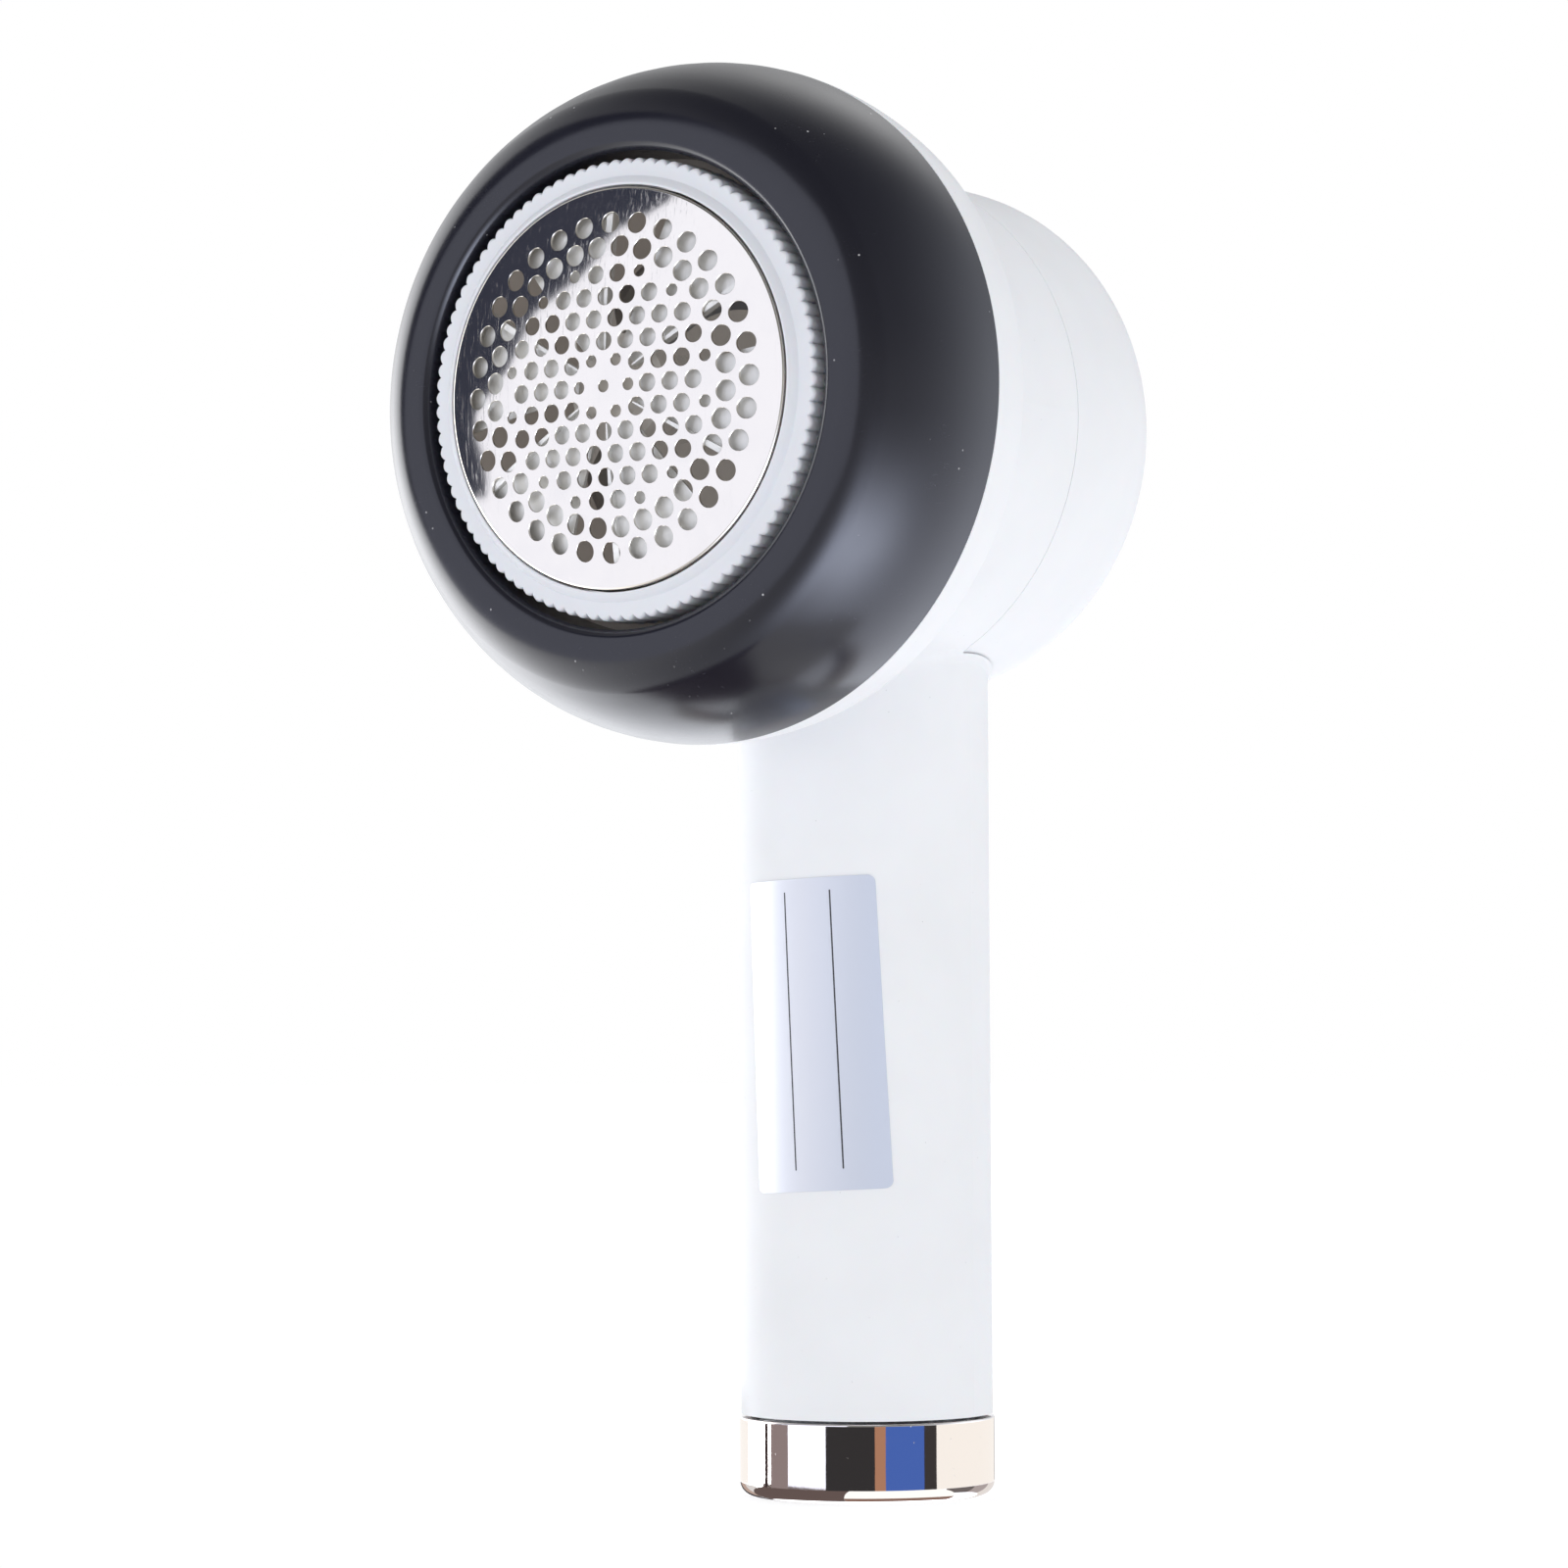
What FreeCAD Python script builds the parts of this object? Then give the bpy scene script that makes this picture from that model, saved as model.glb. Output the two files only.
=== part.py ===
import FreeCAD, Part
import math
import os
import re
import Sketcher

# A cordless fabric shaver. It stands on the flat end cap of its straight round handle, and its
# wide round head looks forward, along -Y. The origin is the centre of the end cap's flat
# bottom, +Z runs up the handle, and +X is to the right of someone facing the head.
#
# Three local frames keep the sizes readable:
#   HEAD    origin on the head's axis above the origin, x right, y up, z forward along the axis
#   HANDLE  the object's own frame
#   BACK    origin on the handle's axis at the power button, x right, y down, z backward
# "Forward distance" below always means the distance in front of the handle's axis.

HEAD = "head"
HANDLE = "handle"
BACK = "back"

FULL_TURN = 360.0

# Turns of wire in each span of a spring
SPRING_SEGMENT = 0.5

# Seat screws, and the motor's own screws
SCREW_COUNT = 3
SCREW_TURN = 30.0
MOTOR_SCREW_COUNT = 2

# An edge whose direction is at least this much of the z axis counts as upright
UPRIGHT = 0.99

# Blocks that stand for the circuit board's components: x, height, width, length and depth
BOARD_PARTS = (
    ("-5", "70", "7", "7", "1.4"),
    ("6", "70", "5", "9", "2.2"),
    ("-9", "84", "3", "5", "1.2"),
    ("9", "86", "3", "6", "1.2"),
    ("-9", "104", "3", "3", "1"),
    ("9", "104", "3", "3", "1"),
)

DIMENSIONS = {
    # Clearances, how far a cutting tool reaches past a face, and how far a rib roots into its wall
    "loose_gap": 0.05,
    "overcut": 1.0,
    "root_bite": 0.3,
    # Head's axis and the straight handle
    "axis_height": 152.6,
    "handle_radius": 18.0,
    "handle_wall": 2.2,
    "handle_foot": 11.6,
    "bore_top": 110.6,
    "grip_root": 20.0,
    "root_fillet": 2.5,
    # Round housing behind the head, and the lint bin behind it
    "drum_radius": 37.4,
    "drum_wall": 2.2,
    "drum_front": 31.0,
    "bin_seam": 2.3,
    "bin_gap": 0.2,
    "saddle_gap": 0.25,
    "bin_wall": 2.0,
    "bin_straight": 13.5,
    "bin_back": 25.7,
    "bin_corner": 8.1,
    "bin_nose": 5.0,
    "spigot_radius": 34.9,
    "spigot_wall": 1.7,
    "spigot_front": 7.5,
    "spigot_root": 4.0,
    "seal_front": 5.9,
    "seal_length": 1.6,
    "seal_depth": 0.6,
    "seal_gap": 0.05,
    # White collar between the housing and the black ring
    "collar_rear": 31.0,
    "collar_radius": 45.9,
    "collar_round": 1.0,
    "collar_bulge": 30.0,
    "collar_bore": 28.5,
    "collar_plate": 1.9,
    "collar_lip": 3.0,
    "collar_lip_radius": 44.3,
    "collar_lip_wall": 1.6,
    # Black ring round the cutter
    "ring_radius": 47.0,
    "ring_rear": 39.8,
    "ring_front": 61.0,
    "ring_crest": 35.4,
    "ring_nose": 7.0,
    "ring_wall": 1.8,
    "lip_radius": 32.4,
    "lip_round": 0.5,
    "well_floor": 51.0,
    # Seat that the foil rests on and the knurled ring screws onto
    "seat_rear": 33.3,
    "seat_front": 59.6,
    "seat_bore": 26.4,
    "seat_radius": 28.0,
    "seat_flange": 36.5,
    "seat_flange_length": 1.8,
    "well_flange": 36.0,
    "well_flange_length": 1.6,
    "thread_lead": 9.0,
    "thread_height": 2.0,
    "thread_depth": 0.95,
    "thread_width": 0.9,
    "thread_start": 56.4,
    # Knurled ring that holds the foil
    "knurl_tip": 31.3,
    "knurl_depth": 0.6,
    "knurl_width": 1.3,
    "knurl_count": 100,
    "nut_rear": 54.0,
    "nut_front": 60.6,
    "nut_bore": 29.05,
    "nut_edge": 0.3,
    "nut_step": 28.8,
    "nut_rise": 1.15,
    "nut_mouth": 27.5,
    "nut_ledge": 60.15,
    "lug_count": 3,
    "lug_rear": 55.2,
    "lug_width": 1.0,
    "lug_radius": 28.15,
    "lug_angle": 24.0,
    "lug_turn": 10.0,
    # Domed foil with its holes
    "foil_top": 64.55,
    "foil_edge": 27.2,
    "foil_rise": 2.65,
    "foil_thick": 0.3,
    "foil_skirt": 60.0,
    "foil_flange": 28.9,
    "hole_pitch": 3.52,
    "hole_radius": 1.23,
    "pinhole_radius": 0.82,
    "pinhole_circle": 4.0,
    "rim_hole_radius": 1.42,
    "inner_circle": 19.0,
    "outer_circle": 22.3,
    "circle_count": 32,
    # Cutter behind the foil
    "blade_gap": 0.15,
    "blade_step": 0.9,
    "blade_thick": 0.5,
    "blade_root": 5.0,
    "blade_reach": 25.0,
    "blade_angle": 40.0,
    "edge_angle": 2.5,
    "blade_turn": 30.0,
    "blade_count": 6,
    "arm_angle": 16.0,
    "arm_reach": 23.5,
    "arm_root": 6.0,
    "arm_rear": 58.6,
    "hub_radius": 7.5,
    "hub_rear": 56.0,
    "hub_front": 61.2,
    "boss_radius": 4.2,
    "boss_front": 62.9,
    "hex_radius": 2.9,
    "hex_gap": 0.08,
    "hex_front": 59.5,
    "hex_socket": 61.0,
    # Drive
    "coupler_rear": 35.0,
    "coupler_sleeve": 3.5,
    "coupler_disc": 6.0,
    "coupler_disc_rear": 46.0,
    "coupler_disc_front": 50.0,
    "spring_radius": 4.6,
    "spring_wire": 0.3,
    "spring_turns": 4.0,
    "shaft_radius": 1.0,
    "shaft_rear": -2.0,
    "shaft_front": 48.0,
    "shaft_room": 0.2,
    "press_gap": 0.02,
    "running_gap": 0.04,
    "can_radius": 12.1,
    "can_wall": 0.8,
    "can_rear": 2.5,
    "can_front": 31.0,
    "can_boss_radius": 3.4,
    "can_boss_front": 33.0,
    "bush_radius": 2.4,
    "bush_length": 3.6,
    "bell_rear": -0.2,
    "bell_plug": 4.6,
    "bell_bore": 9.5,
    "magnet_inner": 9.7,
    "magnet_rear": 5.5,
    "magnet_front": 26.0,
    "magnet_angle": 140.0,
    "magnet_turn": 20.0,
    "armature_radius": 9.3,
    "armature_rear": 8.0,
    "armature_front": 23.0,
    "armature_slot": 2.4,
    "armature_slots": 3,
    "commutator_radius": 2.6,
    "commutator_rear": 4.8,
    "commutator_front": 7.6,
    "terminal_width": 2.4,
    "terminal_thick": 0.5,
    "terminal_rear": -3.4,
    "terminal_place": 7.5,
    # Motor's carrier in the housing
    "pod_bore": 12.25,
    "pod_radius": 14.0,
    "pod_rear": -0.4,
    "pod_front": 33.0,
    "pod_face": 1.9,
    "pod_mouth": 4.2,
    "cap_rear": -6.0,
    "cap_skin": 1.2,
    "strut_count": 3,
    "strut_bite": 0.5,
    "strut_rear": 14.0,
    "strut_length": 7.0,
    "strut_thick": 3.0,
    "spider_inner": 33.4,
    "spider_radius": 35.1,
    # Screws
    "screw_circle": 32.2,
    "boss_post": 3.4,
    "boss_rear": 27.0,
    "screw_shank": 1.25,
    "screw_head": 2.3,
    "screw_slot": 0.6,
    "screw_head_height": 1.6,
    "screw_length": 7.0,
    "screw_gap": 0.1,
    "motor_screw_circle": 8.0,
    "motor_screw_shank": 0.95,
    "motor_screw_head": 1.9,
    "motor_screw_head_height": 1.4,
    "motor_screw_length": 3.0,
    # End cap, ballast and charging socket
    "foot_radius": 18.2,
    "foot_round": 2.0,
    "foot_height": 11.2,
    "foot_edge": 0.3,
    "foot_wall": 1.5,
    "foot_floor": 1.5,
    "ballast_radius": 16.5,
    "ballast_base": 1.6,
    "ballast_top": 8.9,
    "ballast_slot_x": 14.0,
    "ballast_slot_y": 9.0,
    "recess_gap": 0.3,
    "plug_bore": 13.2,
    "plug_radius": 15.65,
    "plug_base": 9.0,
    "plug_shoulder": 11.0,
    "plug_top": 19.0,
    "socket_x": 9.0,
    "socket_y": 3.2,
    "socket_wall": 0.3,
    "socket_base": 0.6,
    "socket_top": 7.9,
    "socket_gap": 0.2,
    "tongue_x": 6.6,
    "tongue_y": 0.7,
    "tongue_base": 1.8,
    "socket_board_x": 20.0,
    "socket_board_y": 12.0,
    "socket_board_thick": 1.2,
    # Cell, cradles and circuit board
    "cell_radius": 9.2,
    "cell_length": 65.0,
    "cell_base": 24.0,
    "cell_setback": -3.0,
    "cell_bevel": 0.8,
    "cell_crimp": 1.0,
    "cell_button_radius": 3.0,
    "cell_button_height": 1.0,
    "cradle_radius": 15.5,
    "cradle_gap": 0.15,
    "lower_cradle_base": 20.0,
    "lower_cradle_top": 32.0,
    "upper_cradle_base": 83.0,
    "upper_cradle_top": 93.0,
    "cradle_end": 2.5,
    "contact_radius": 3.0,
    "contact_gap": 0.1,
    "board_near": 6.9,
    "board_thick": 1.6,
    "board_width": 24.0,
    "board_base": 66.0,
    "board_top": 109.5,
    # Power button and light on the handle's back
    "button_height": 98.0,
    "button_radius": 5.8,
    "button_flange": 6.8,
    "button_back": 13.9,
    "button_flange_length": 1.1,
    "button_front": 18.5,
    "button_crown": 0.5,
    "button_travel": 0.8,
    "stem_radius": 1.5,
    "stem_end": 13.1,
    "bezel_bore": 5.9,
    "bezel_radius": 7.1,
    "bezel_back": 15.2,
    "bezel_front": 18.4,
    "bezel_round": 0.4,
    "button_hole": 7.2,
    "switch_side": 6.0,
    "switch_depth": 3.0,
    "plunger_radius": 1.6,
    "plunger_front": 12.2,
    "button_spring_radius": 5.0,
    "button_spring_wire": 0.3,
    "button_spring_turns": 3.0,
    "lens_drop": 15.0,
    "lens_radius": 1.5,
    "lens_hole": 1.6,
    "lens_back": 12.0,
    "lens_front": 18.1,
    "led_side": 3.0,
    "led_depth": 1.4,
    # Plain rating label wrapped on the front of the handle
    "label_width": 20.3,
    "label_length": 44.0,
    "label_corner": 2.0,
    "label_height": 65.7,
    "label_turn": 6.8,
    "label_tilt": 2.6,
    "label_gap": 0.02,
    "label_thick": 0.12,
    "label_cut_depth": 20.0,
}

doc = FreeCAD.newDocument("FabricShaver")
sheet = doc.addObject("Spreadsheet::Sheet", "Size")
for row, (alias, number) in enumerate(DIMENSIONS.items(), start=1):
    sheet.set(f"A{row}", alias)
    sheet.set(f"B{row}", str(number))
    sheet.setAlias(f"B{row}", alias)
doc.recompute()

nodes = []


# ---------------------------------------------------------------- sizes and places

def cells(formula):
    """Turn each of the sheet's words in a formula into a reference to its cell."""
    def reference(match):
        word = match.group()
        return "Size." + word if word in DIMENSIONS else word
    return re.sub(r"[a-z][a-z0-9_]*", reference, formula)


def value(formula):
    """What a formula of the sheet's words comes to, in millimetres or degrees."""
    return float(sheet.evalExpression(cells(formula)))


def bind(thing, name, formula):
    """Bind one property of an object to a formula of the sheet's words."""
    thing.setExpression(name, cells(formula))


def place(thing, frame, x="0", y="0", z="0", turn="0"):
    """Put a thing at a point of a frame, turned about that frame's z axis."""
    spin = FreeCAD.Rotation(FreeCAD.Vector(0, 0, 1), value(turn))
    if frame == HEAD:
        base = (x, f"-({z})", f"axis_height + ({y})")
        tilt = FreeCAD.Rotation(FreeCAD.Vector(1, 0, 0), 90)
    elif frame == BACK:
        base = (x, z, f"button_height - ({y})")
        tilt = FreeCAD.Rotation(FreeCAD.Vector(1, 0, 0), -90)
    else:
        base = (x, y, z)
        tilt = FreeCAD.Rotation()
    where = FreeCAD.Vector(*[value(formula) for formula in base])
    thing.Placement = FreeCAD.Placement(where, tilt * spin)
    for axis, formula in zip("xyz", base):
        bind(thing, f"Placement.Base.{axis}", formula)


def node(thing, label):
    """Keep a finished piece as one of the object's sub-parts."""
    thing.Label = label
    nodes.append(thing)
    return thing


# ---------------------------------------------------------------- bodies and sketches

def new_body(name, frame, turn="0"):
    """A body whose own axes are those of a frame."""
    body = doc.addObject("PartDesign::Body", name)
    place(body, frame, turn=turn)
    return body


def origin_feature(body, role):
    """One of a body's own origin planes or axes."""
    return next(part for part in body.Origin.OriginFeatures if part.Role == role)


def new_sketch(body, plane, offset="0"):
    """An empty sketch on one of a body's origin planes, or at an offset from it."""
    sketch = body.newObject("Sketcher::SketchObject", body.Name + "_sketch")
    sketch.AttachmentSupport = [(origin_feature(body, plane), "")]
    sketch.MapMode = "FlatFace"
    sketch.AttachmentOffset = FreeCAD.Placement(FreeCAD.Vector(0, 0, value(offset)), FreeCAD.Rotation())
    bind(sketch, "AttachmentOffset.Base.z", offset)
    return sketch


def hold(sketch, kind, geometry, corner, formula):
    """Fix one coordinate of a point to a formula, or to the sketch's axis where it is zero."""
    if formula == "0":
        axis = -2 if kind == "DistanceX" else -1
        sketch.addConstraint(Sketcher.Constraint("PointOnObject", geometry, corner, axis))
        return
    number = sketch.addConstraint(Sketcher.Constraint(kind, -1, 1, geometry, corner, value(formula)))
    bind(sketch, f"Constraints[{number}]", formula)


def arc_between(start, end, radius):
    """The arc from start to end, anticlockwise where the radius is positive."""
    chord = end - start
    half = chord.Length / 2
    across = FreeCAD.Vector(-chord.y, chord.x, 0).normalize()
    side = 1 if radius > 0 else -1
    centre = start + chord * 0.5 + across * side * math.sqrt(radius * radius - half * half)
    first, last = (start, end) if radius > 0 else (end, start)
    angles = [math.atan2(point.y - centre.y, point.x - centre.x) for point in (first, last)]
    circle = Part.Circle(centre, FreeCAD.Vector(0, 0, 1), abs(radius))
    return Part.ArcOfCircle(circle, angles[0], angles[1])


def draw(sketch, outline):
    """Draw a closed outline. Each corner is (x, y), or (x, y, radius) where an arc leads to it."""
    points = [FreeCAD.Vector(value(corner[0]), value(corner[1]), 0) for corner in outline]
    starts = []
    for index, start in enumerate(points):
        following = (index + 1) % len(points)
        target = outline[following]
        if len(target) == 2:
            sketch.addGeometry(Part.LineSegment(start, points[following]), False)
            starts.append(1)
        else:
            radius = value(target[2])
            sketch.addGeometry(arc_between(start, points[following], radius), False)
            starts.append(1 if radius > 0 else 2)
    for index, corner in enumerate(outline):
        before = (index - 1) % len(outline)
        end = 3 - starts[before]
        sketch.addConstraint(Sketcher.Constraint("Coincident", before, end, index, starts[index]))
        hold(sketch, "DistanceX", index, starts[index], corner[0])
        hold(sketch, "DistanceY", index, starts[index], corner[1])
        if len(corner) == 3:
            radius = value(corner[2])
            sign = "" if radius > 0 else "-"
            number = sketch.addConstraint(Sketcher.Constraint("Radius", before, abs(radius)))
            bind(sketch, f"Constraints[{number}]", f"{sign}({corner[2]})")


def draw_circle(sketch, x, y, radius):
    """Draw one circle."""
    centre = FreeCAD.Vector(value(x), value(y), 0)
    circle = Part.Circle(centre, FreeCAD.Vector(0, 0, 1), value(radius))
    index = sketch.addGeometry(circle, False)
    hold(sketch, "DistanceX", index, 3, x)
    hold(sketch, "DistanceY", index, 3, y)
    number = sketch.addConstraint(Sketcher.Constraint("Radius", index, value(radius)))
    bind(sketch, f"Constraints[{number}]", radius)


def rectangle(x0, y0, x1, y1):
    """Outline of a rectangle from its lowest and highest corners."""
    return [(x0, y0), (x1, y0), (x1, y1), (x0, y1)]


def turned(body, kind, outline, angle=None, middle=False):
    """Revolve an outline about the body's z axis: a Revolution adds, a Groove cuts."""
    sketch = new_sketch(body, "XZ_Plane")
    draw(sketch, outline)
    feature = body.newObject("PartDesign::" + kind, f"{body.Name}_{kind.lower()}")
    feature.Profile = sketch
    feature.ReferenceAxis = (sketch, ["V_Axis"])
    feature.Angle = value(angle) if angle else FULL_TURN
    if angle:
        bind(feature, "Angle", angle)
    feature.Midplane = middle
    return feature


def extruded(body, kind, sketch, length, reverse=False):
    """Extrude a sketch: a Pad adds, a Pocket cuts."""
    feature = body.newObject("PartDesign::" + kind, f"{body.Name}_{kind.lower()}")
    feature.Profile = sketch
    feature.Length = value(length)
    bind(feature, "Length", length)
    feature.Reversed = reverse
    return feature


def repeated(body, feature, count):
    """Repeat a feature round the body's z axis."""
    doc.recompute()
    pattern = body.newObject("PartDesign::PolarPattern", feature.Name + "_pattern")
    pattern.Originals = [feature]
    pattern.Axis = (origin_feature(body, "Z_Axis"), [""])
    pattern.Angle = FULL_TURN
    pattern.Occurrences = int(value(count))
    bind(pattern, "Occurrences", count)
    body.Tip = pattern
    return pattern


def lathe(name, frame, outline, angle=None, turn="0"):
    """A piece made by revolving one outline."""
    body = new_body(name, frame, turn)
    turned(body, "Revolution", outline, angle)
    return body


# ---------------------------------------------------------------- primitives and booleans

def cylinder(name, frame, radius, length, x="0", y="0", z="0"):
    """A cylinder along a frame's z axis."""
    thing = doc.addObject("Part::Cylinder", name)
    bind(thing, "Radius", radius)
    bind(thing, "Height", length)
    place(thing, frame, x, y, z)
    return thing


def block(name, frame, wide, deep, tall, x="0", y="0", z="0"):
    """A box centred across a frame's z axis and standing on the given z."""
    thing = doc.addObject("Part::Box", name)
    bind(thing, "Length", wide)
    bind(thing, "Width", deep)
    bind(thing, "Height", tall)
    place(thing, frame, f"({x}) - ({wide}) / 2", f"({y}) - ({deep}) / 2", z)
    return thing


def capsule(name, frame, wide, deep, tall, z):
    """A flat-sided slot shape with half-round ends."""
    middle = block(name + "_middle", frame, f"({wide}) - ({deep})", deep, tall, z=z)
    ends = []
    for side in ("-", ""):
        offset = f"{side}(({wide}) - ({deep})) / 2"
        ends.append(cylinder(name + "_end", frame, f"({deep}) / 2", tall, x=offset, z=z))
    return fuse(name, middle, *ends)


def fuse(name, *things):
    """Join pieces into one solid."""
    joined = doc.addObject("Part::MultiFuse", name)
    joined.Shapes = list(things)
    joined.Refine = True
    return joined


def cut(name, base, *tools):
    """Take tools away from a base."""
    result = doc.addObject("Part::Cut", name)
    result.Base = base
    result.Tool = tools[0] if len(tools) == 1 else gather(name + "_tools", tools)
    return result


def common(name, *things):
    """Keep what pieces share."""
    shared = doc.addObject("Part::MultiCommon", name)
    shared.Shapes = list(things)
    return shared


def gather(name, things):
    """Group separate pieces without joining them."""
    group = doc.addObject("Part::Compound", name)
    group.Links = list(things)
    return group


def coil(name, frame, radius, wire, turns, z, length):
    """A round-wire compression spring along a frame's z axis."""
    helix = doc.addObject("Part::Helix", name + "_helix")
    bind(helix, "Radius", radius)
    bind(helix, "Height", length)
    bind(helix, "Pitch", f"({length}) / ({turns})")
    helix.SegmentLength = SPRING_SEGMENT
    section = doc.addObject("Part::Circle", name + "_section")
    bind(section, "Radius", wire)
    start = FreeCAD.Vector(value(radius), 0, 0)
    section.Placement = FreeCAD.Placement(start, FreeCAD.Rotation(FreeCAD.Vector(1, 0, 0), 90))
    bind(section, "Placement.Base.x", radius)
    doc.recompute()
    sweep = doc.addObject("Part::Sweep", name)
    sweep.Sections = [section]
    sweep.Spine = (helix, [f"Edge{number + 1}" for number in range(len(helix.Shape.Edges))])
    sweep.Solid = True
    sweep.Frenet = True
    place(sweep, frame, z=z)
    return sweep


def circle_places(radius, count, first_angle):
    """Points on a circle, as (x, y) formulas."""
    places = []
    for index in range(count):
        angle = first_angle + index * FULL_TURN / count
        places.append((f"({radius}) * cos({angle} deg)", f"({radius}) * sin({angle} deg)"))
    return places


# ---------------------------------------------------------------- shared curves

DOME_RADIUS = "(foil_edge^2 + foil_rise^2) / (2 * foil_rise)"


def dome(radius, depth):
    """Forward distance, at a radius, of the sphere lying a depth behind the foil's face."""
    return f"foil_top - {DOME_RADIUS} + sqrt(({DOME_RADIUS} - ({depth}))^2 - ({radius})^2)"


def dome_radius(depth):
    """Radius of the sphere lying a depth behind the foil's face."""
    return f"({DOME_RADIUS} - ({depth}))"


def oval(edge, start, wide, deep, nose, wall="0", way=1):
    """A two-arc corner from an edge radius to a narrower front, and the same corner inside a wall.

    Returns the begin, middle and end points and the radii of its long and short arcs."""
    long_arc = f"((({wide})^2 + ({deep})^2 - 2 * ({deep}) * ({nose})) / (2 * (({wide}) - ({nose}))))"
    across = f"(({long_arc} - ({wide})) / ({long_arc} - ({nose})))"
    along = f"((({deep}) - ({nose})) / ({long_arc} - ({nose})))"
    inset = f"({long_arc} - ({wall}))"
    begin = (f"({edge}) - ({wall})", start)
    middle = (f"({edge}) - {long_arc} + {inset} * {across}", f"({start}) + {way} * {inset} * {along}")
    end = (f"({edge}) - ({wide})", f"({start}) + {way} * (({deep}) - ({wall}))")
    return begin, middle, end, inset, f"(({nose}) - ({wall}))"


# ---------------------------------------------------------------- head: outer pieces

def front_ring():
    """Black ring with a soft oval section and a plain bore round the cutter."""
    shape = ("ring_radius", "ring_rear", "ring_radius - ring_crest", "ring_front - ring_rear", "ring_nose")
    begin, middle, end, long_arc, short_arc = oval(*shape)
    in_begin, in_middle, in_end, in_long, in_short = oval(*shape, wall="ring_wall")
    outline = [
        (*in_begin, f"-{in_long}"),
        begin,
        (*middle, long_arc),
        (*end, short_arc),
        ("lip_radius + lip_round", "ring_front"),
        ("lip_radius", "ring_front - lip_round", "lip_round"),
        ("lip_radius", "well_floor"),
        ("lip_radius + ring_wall", "well_floor"),
        ("lip_radius + ring_wall", "ring_front - ring_wall"),
        in_end,
        (*in_middle, f"-{in_short}"),
    ]
    node(lathe("front_ring", HEAD, outline), "front_ring")


def collar():
    """White collar: a plate on the housing's mouth with a rim that the black ring snaps over."""
    lip_front = "ring_rear + collar_lip"
    lip_inner = "collar_lip_radius - collar_lip_wall"
    blank = lathe("collar_blank", HEAD, [
        ("collar_bore", "collar_rear"),
        ("collar_radius - collar_round", "collar_rear"),
        ("collar_radius", "collar_rear + collar_round", "collar_round"),
        ("ring_radius", "ring_rear", "collar_bulge"),
        ("collar_lip_radius", "ring_rear"),
        ("collar_lip_radius", lip_front),
        (lip_inner, lip_front),
        (lip_inner, "collar_rear + collar_plate"),
        ("collar_bore", "collar_rear + collar_plate"),
    ])
    holes = screw_holes("collar_hole", "collar_rear - overcut", "collar_plate + overcut * 2")
    node(cut("collar", blank, *holes), "collar")


def screw_holes(name, rear, length):
    """Clearance holes for the three seat screws."""
    holes = []
    for x, y in circle_places("screw_circle", SCREW_COUNT, SCREW_TURN):
        holes.append(cylinder(name, HEAD, "screw_shank + screw_gap", length, x, y, rear))
    return holes


def guard_seat():
    """Black tube in the well, with three starts of a quick thread for the knurled ring."""
    body = lathe("guard_seat_blank", HEAD, [
        ("seat_bore", "seat_rear"),
        ("seat_flange", "seat_rear"),
        ("seat_flange", "seat_rear + seat_flange_length"),
        ("seat_radius", "seat_rear + seat_flange_length"),
        ("seat_radius", "well_floor - seal_gap * 2 - well_flange_length"),
        ("well_flange", "well_floor - seal_gap * 2 - well_flange_length"),
        ("well_flange", "well_floor - seal_gap * 2"),
        ("seat_radius", "well_floor - seal_gap * 2"),
        ("seat_radius", "seat_front"),
        ("seat_bore", "seat_front"),
    ])
    sketch = new_sketch(body, "XZ_Plane")
    root = "seat_radius - root_bite"
    draw(sketch, rectangle(root, "thread_start", "seat_radius + thread_depth", "thread_start + thread_width"))
    rib = body.newObject("PartDesign::AdditiveHelix", "thread_rib")
    rib.Profile = sketch
    rib.ReferenceAxis = (sketch, ["V_Axis"])
    rib.Mode = "pitch-height-angle"
    rib.Pitch = value("thread_lead")
    rib.Height = value("thread_height")
    rib.LeftHanded = False
    rib.Reversed = False
    repeated(body, rib, "lug_count")
    holes = screw_holes("seat_hole", "seat_rear - overcut", "seat_flange_length + overcut * 2")
    node(cut("guard_seat", body, *holes), "guard_seat")


def seat_screws():
    """Three pan-head screws through the seat and the collar into the housing."""
    for number, (x, y) in enumerate(circle_places("screw_circle", SCREW_COUNT, SCREW_TURN), start=1):
        under_head = "seat_rear + seat_flange_length"
        head = cylinder("seat_screw_head", HEAD, "screw_head", "screw_head_height", x, y, under_head)
        shank_rear = f"{under_head} - screw_length"
        shank = cylinder("seat_screw_shank", HEAD, "screw_shank", "screw_length", x, y, shank_rear)
        slot = block("seat_screw_slot", HEAD, "screw_head * 3", "screw_slot", "screw_head_height",
                     x, y, f"{under_head} + screw_head_height - screw_slot")
        screw = fuse("seat_screw_blank", head, shank)
        node(cut("seat_screw", screw, slot), f"seat_screw_{number}")


# ---------------------------------------------------------------- head: foil and knurled ring

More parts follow.
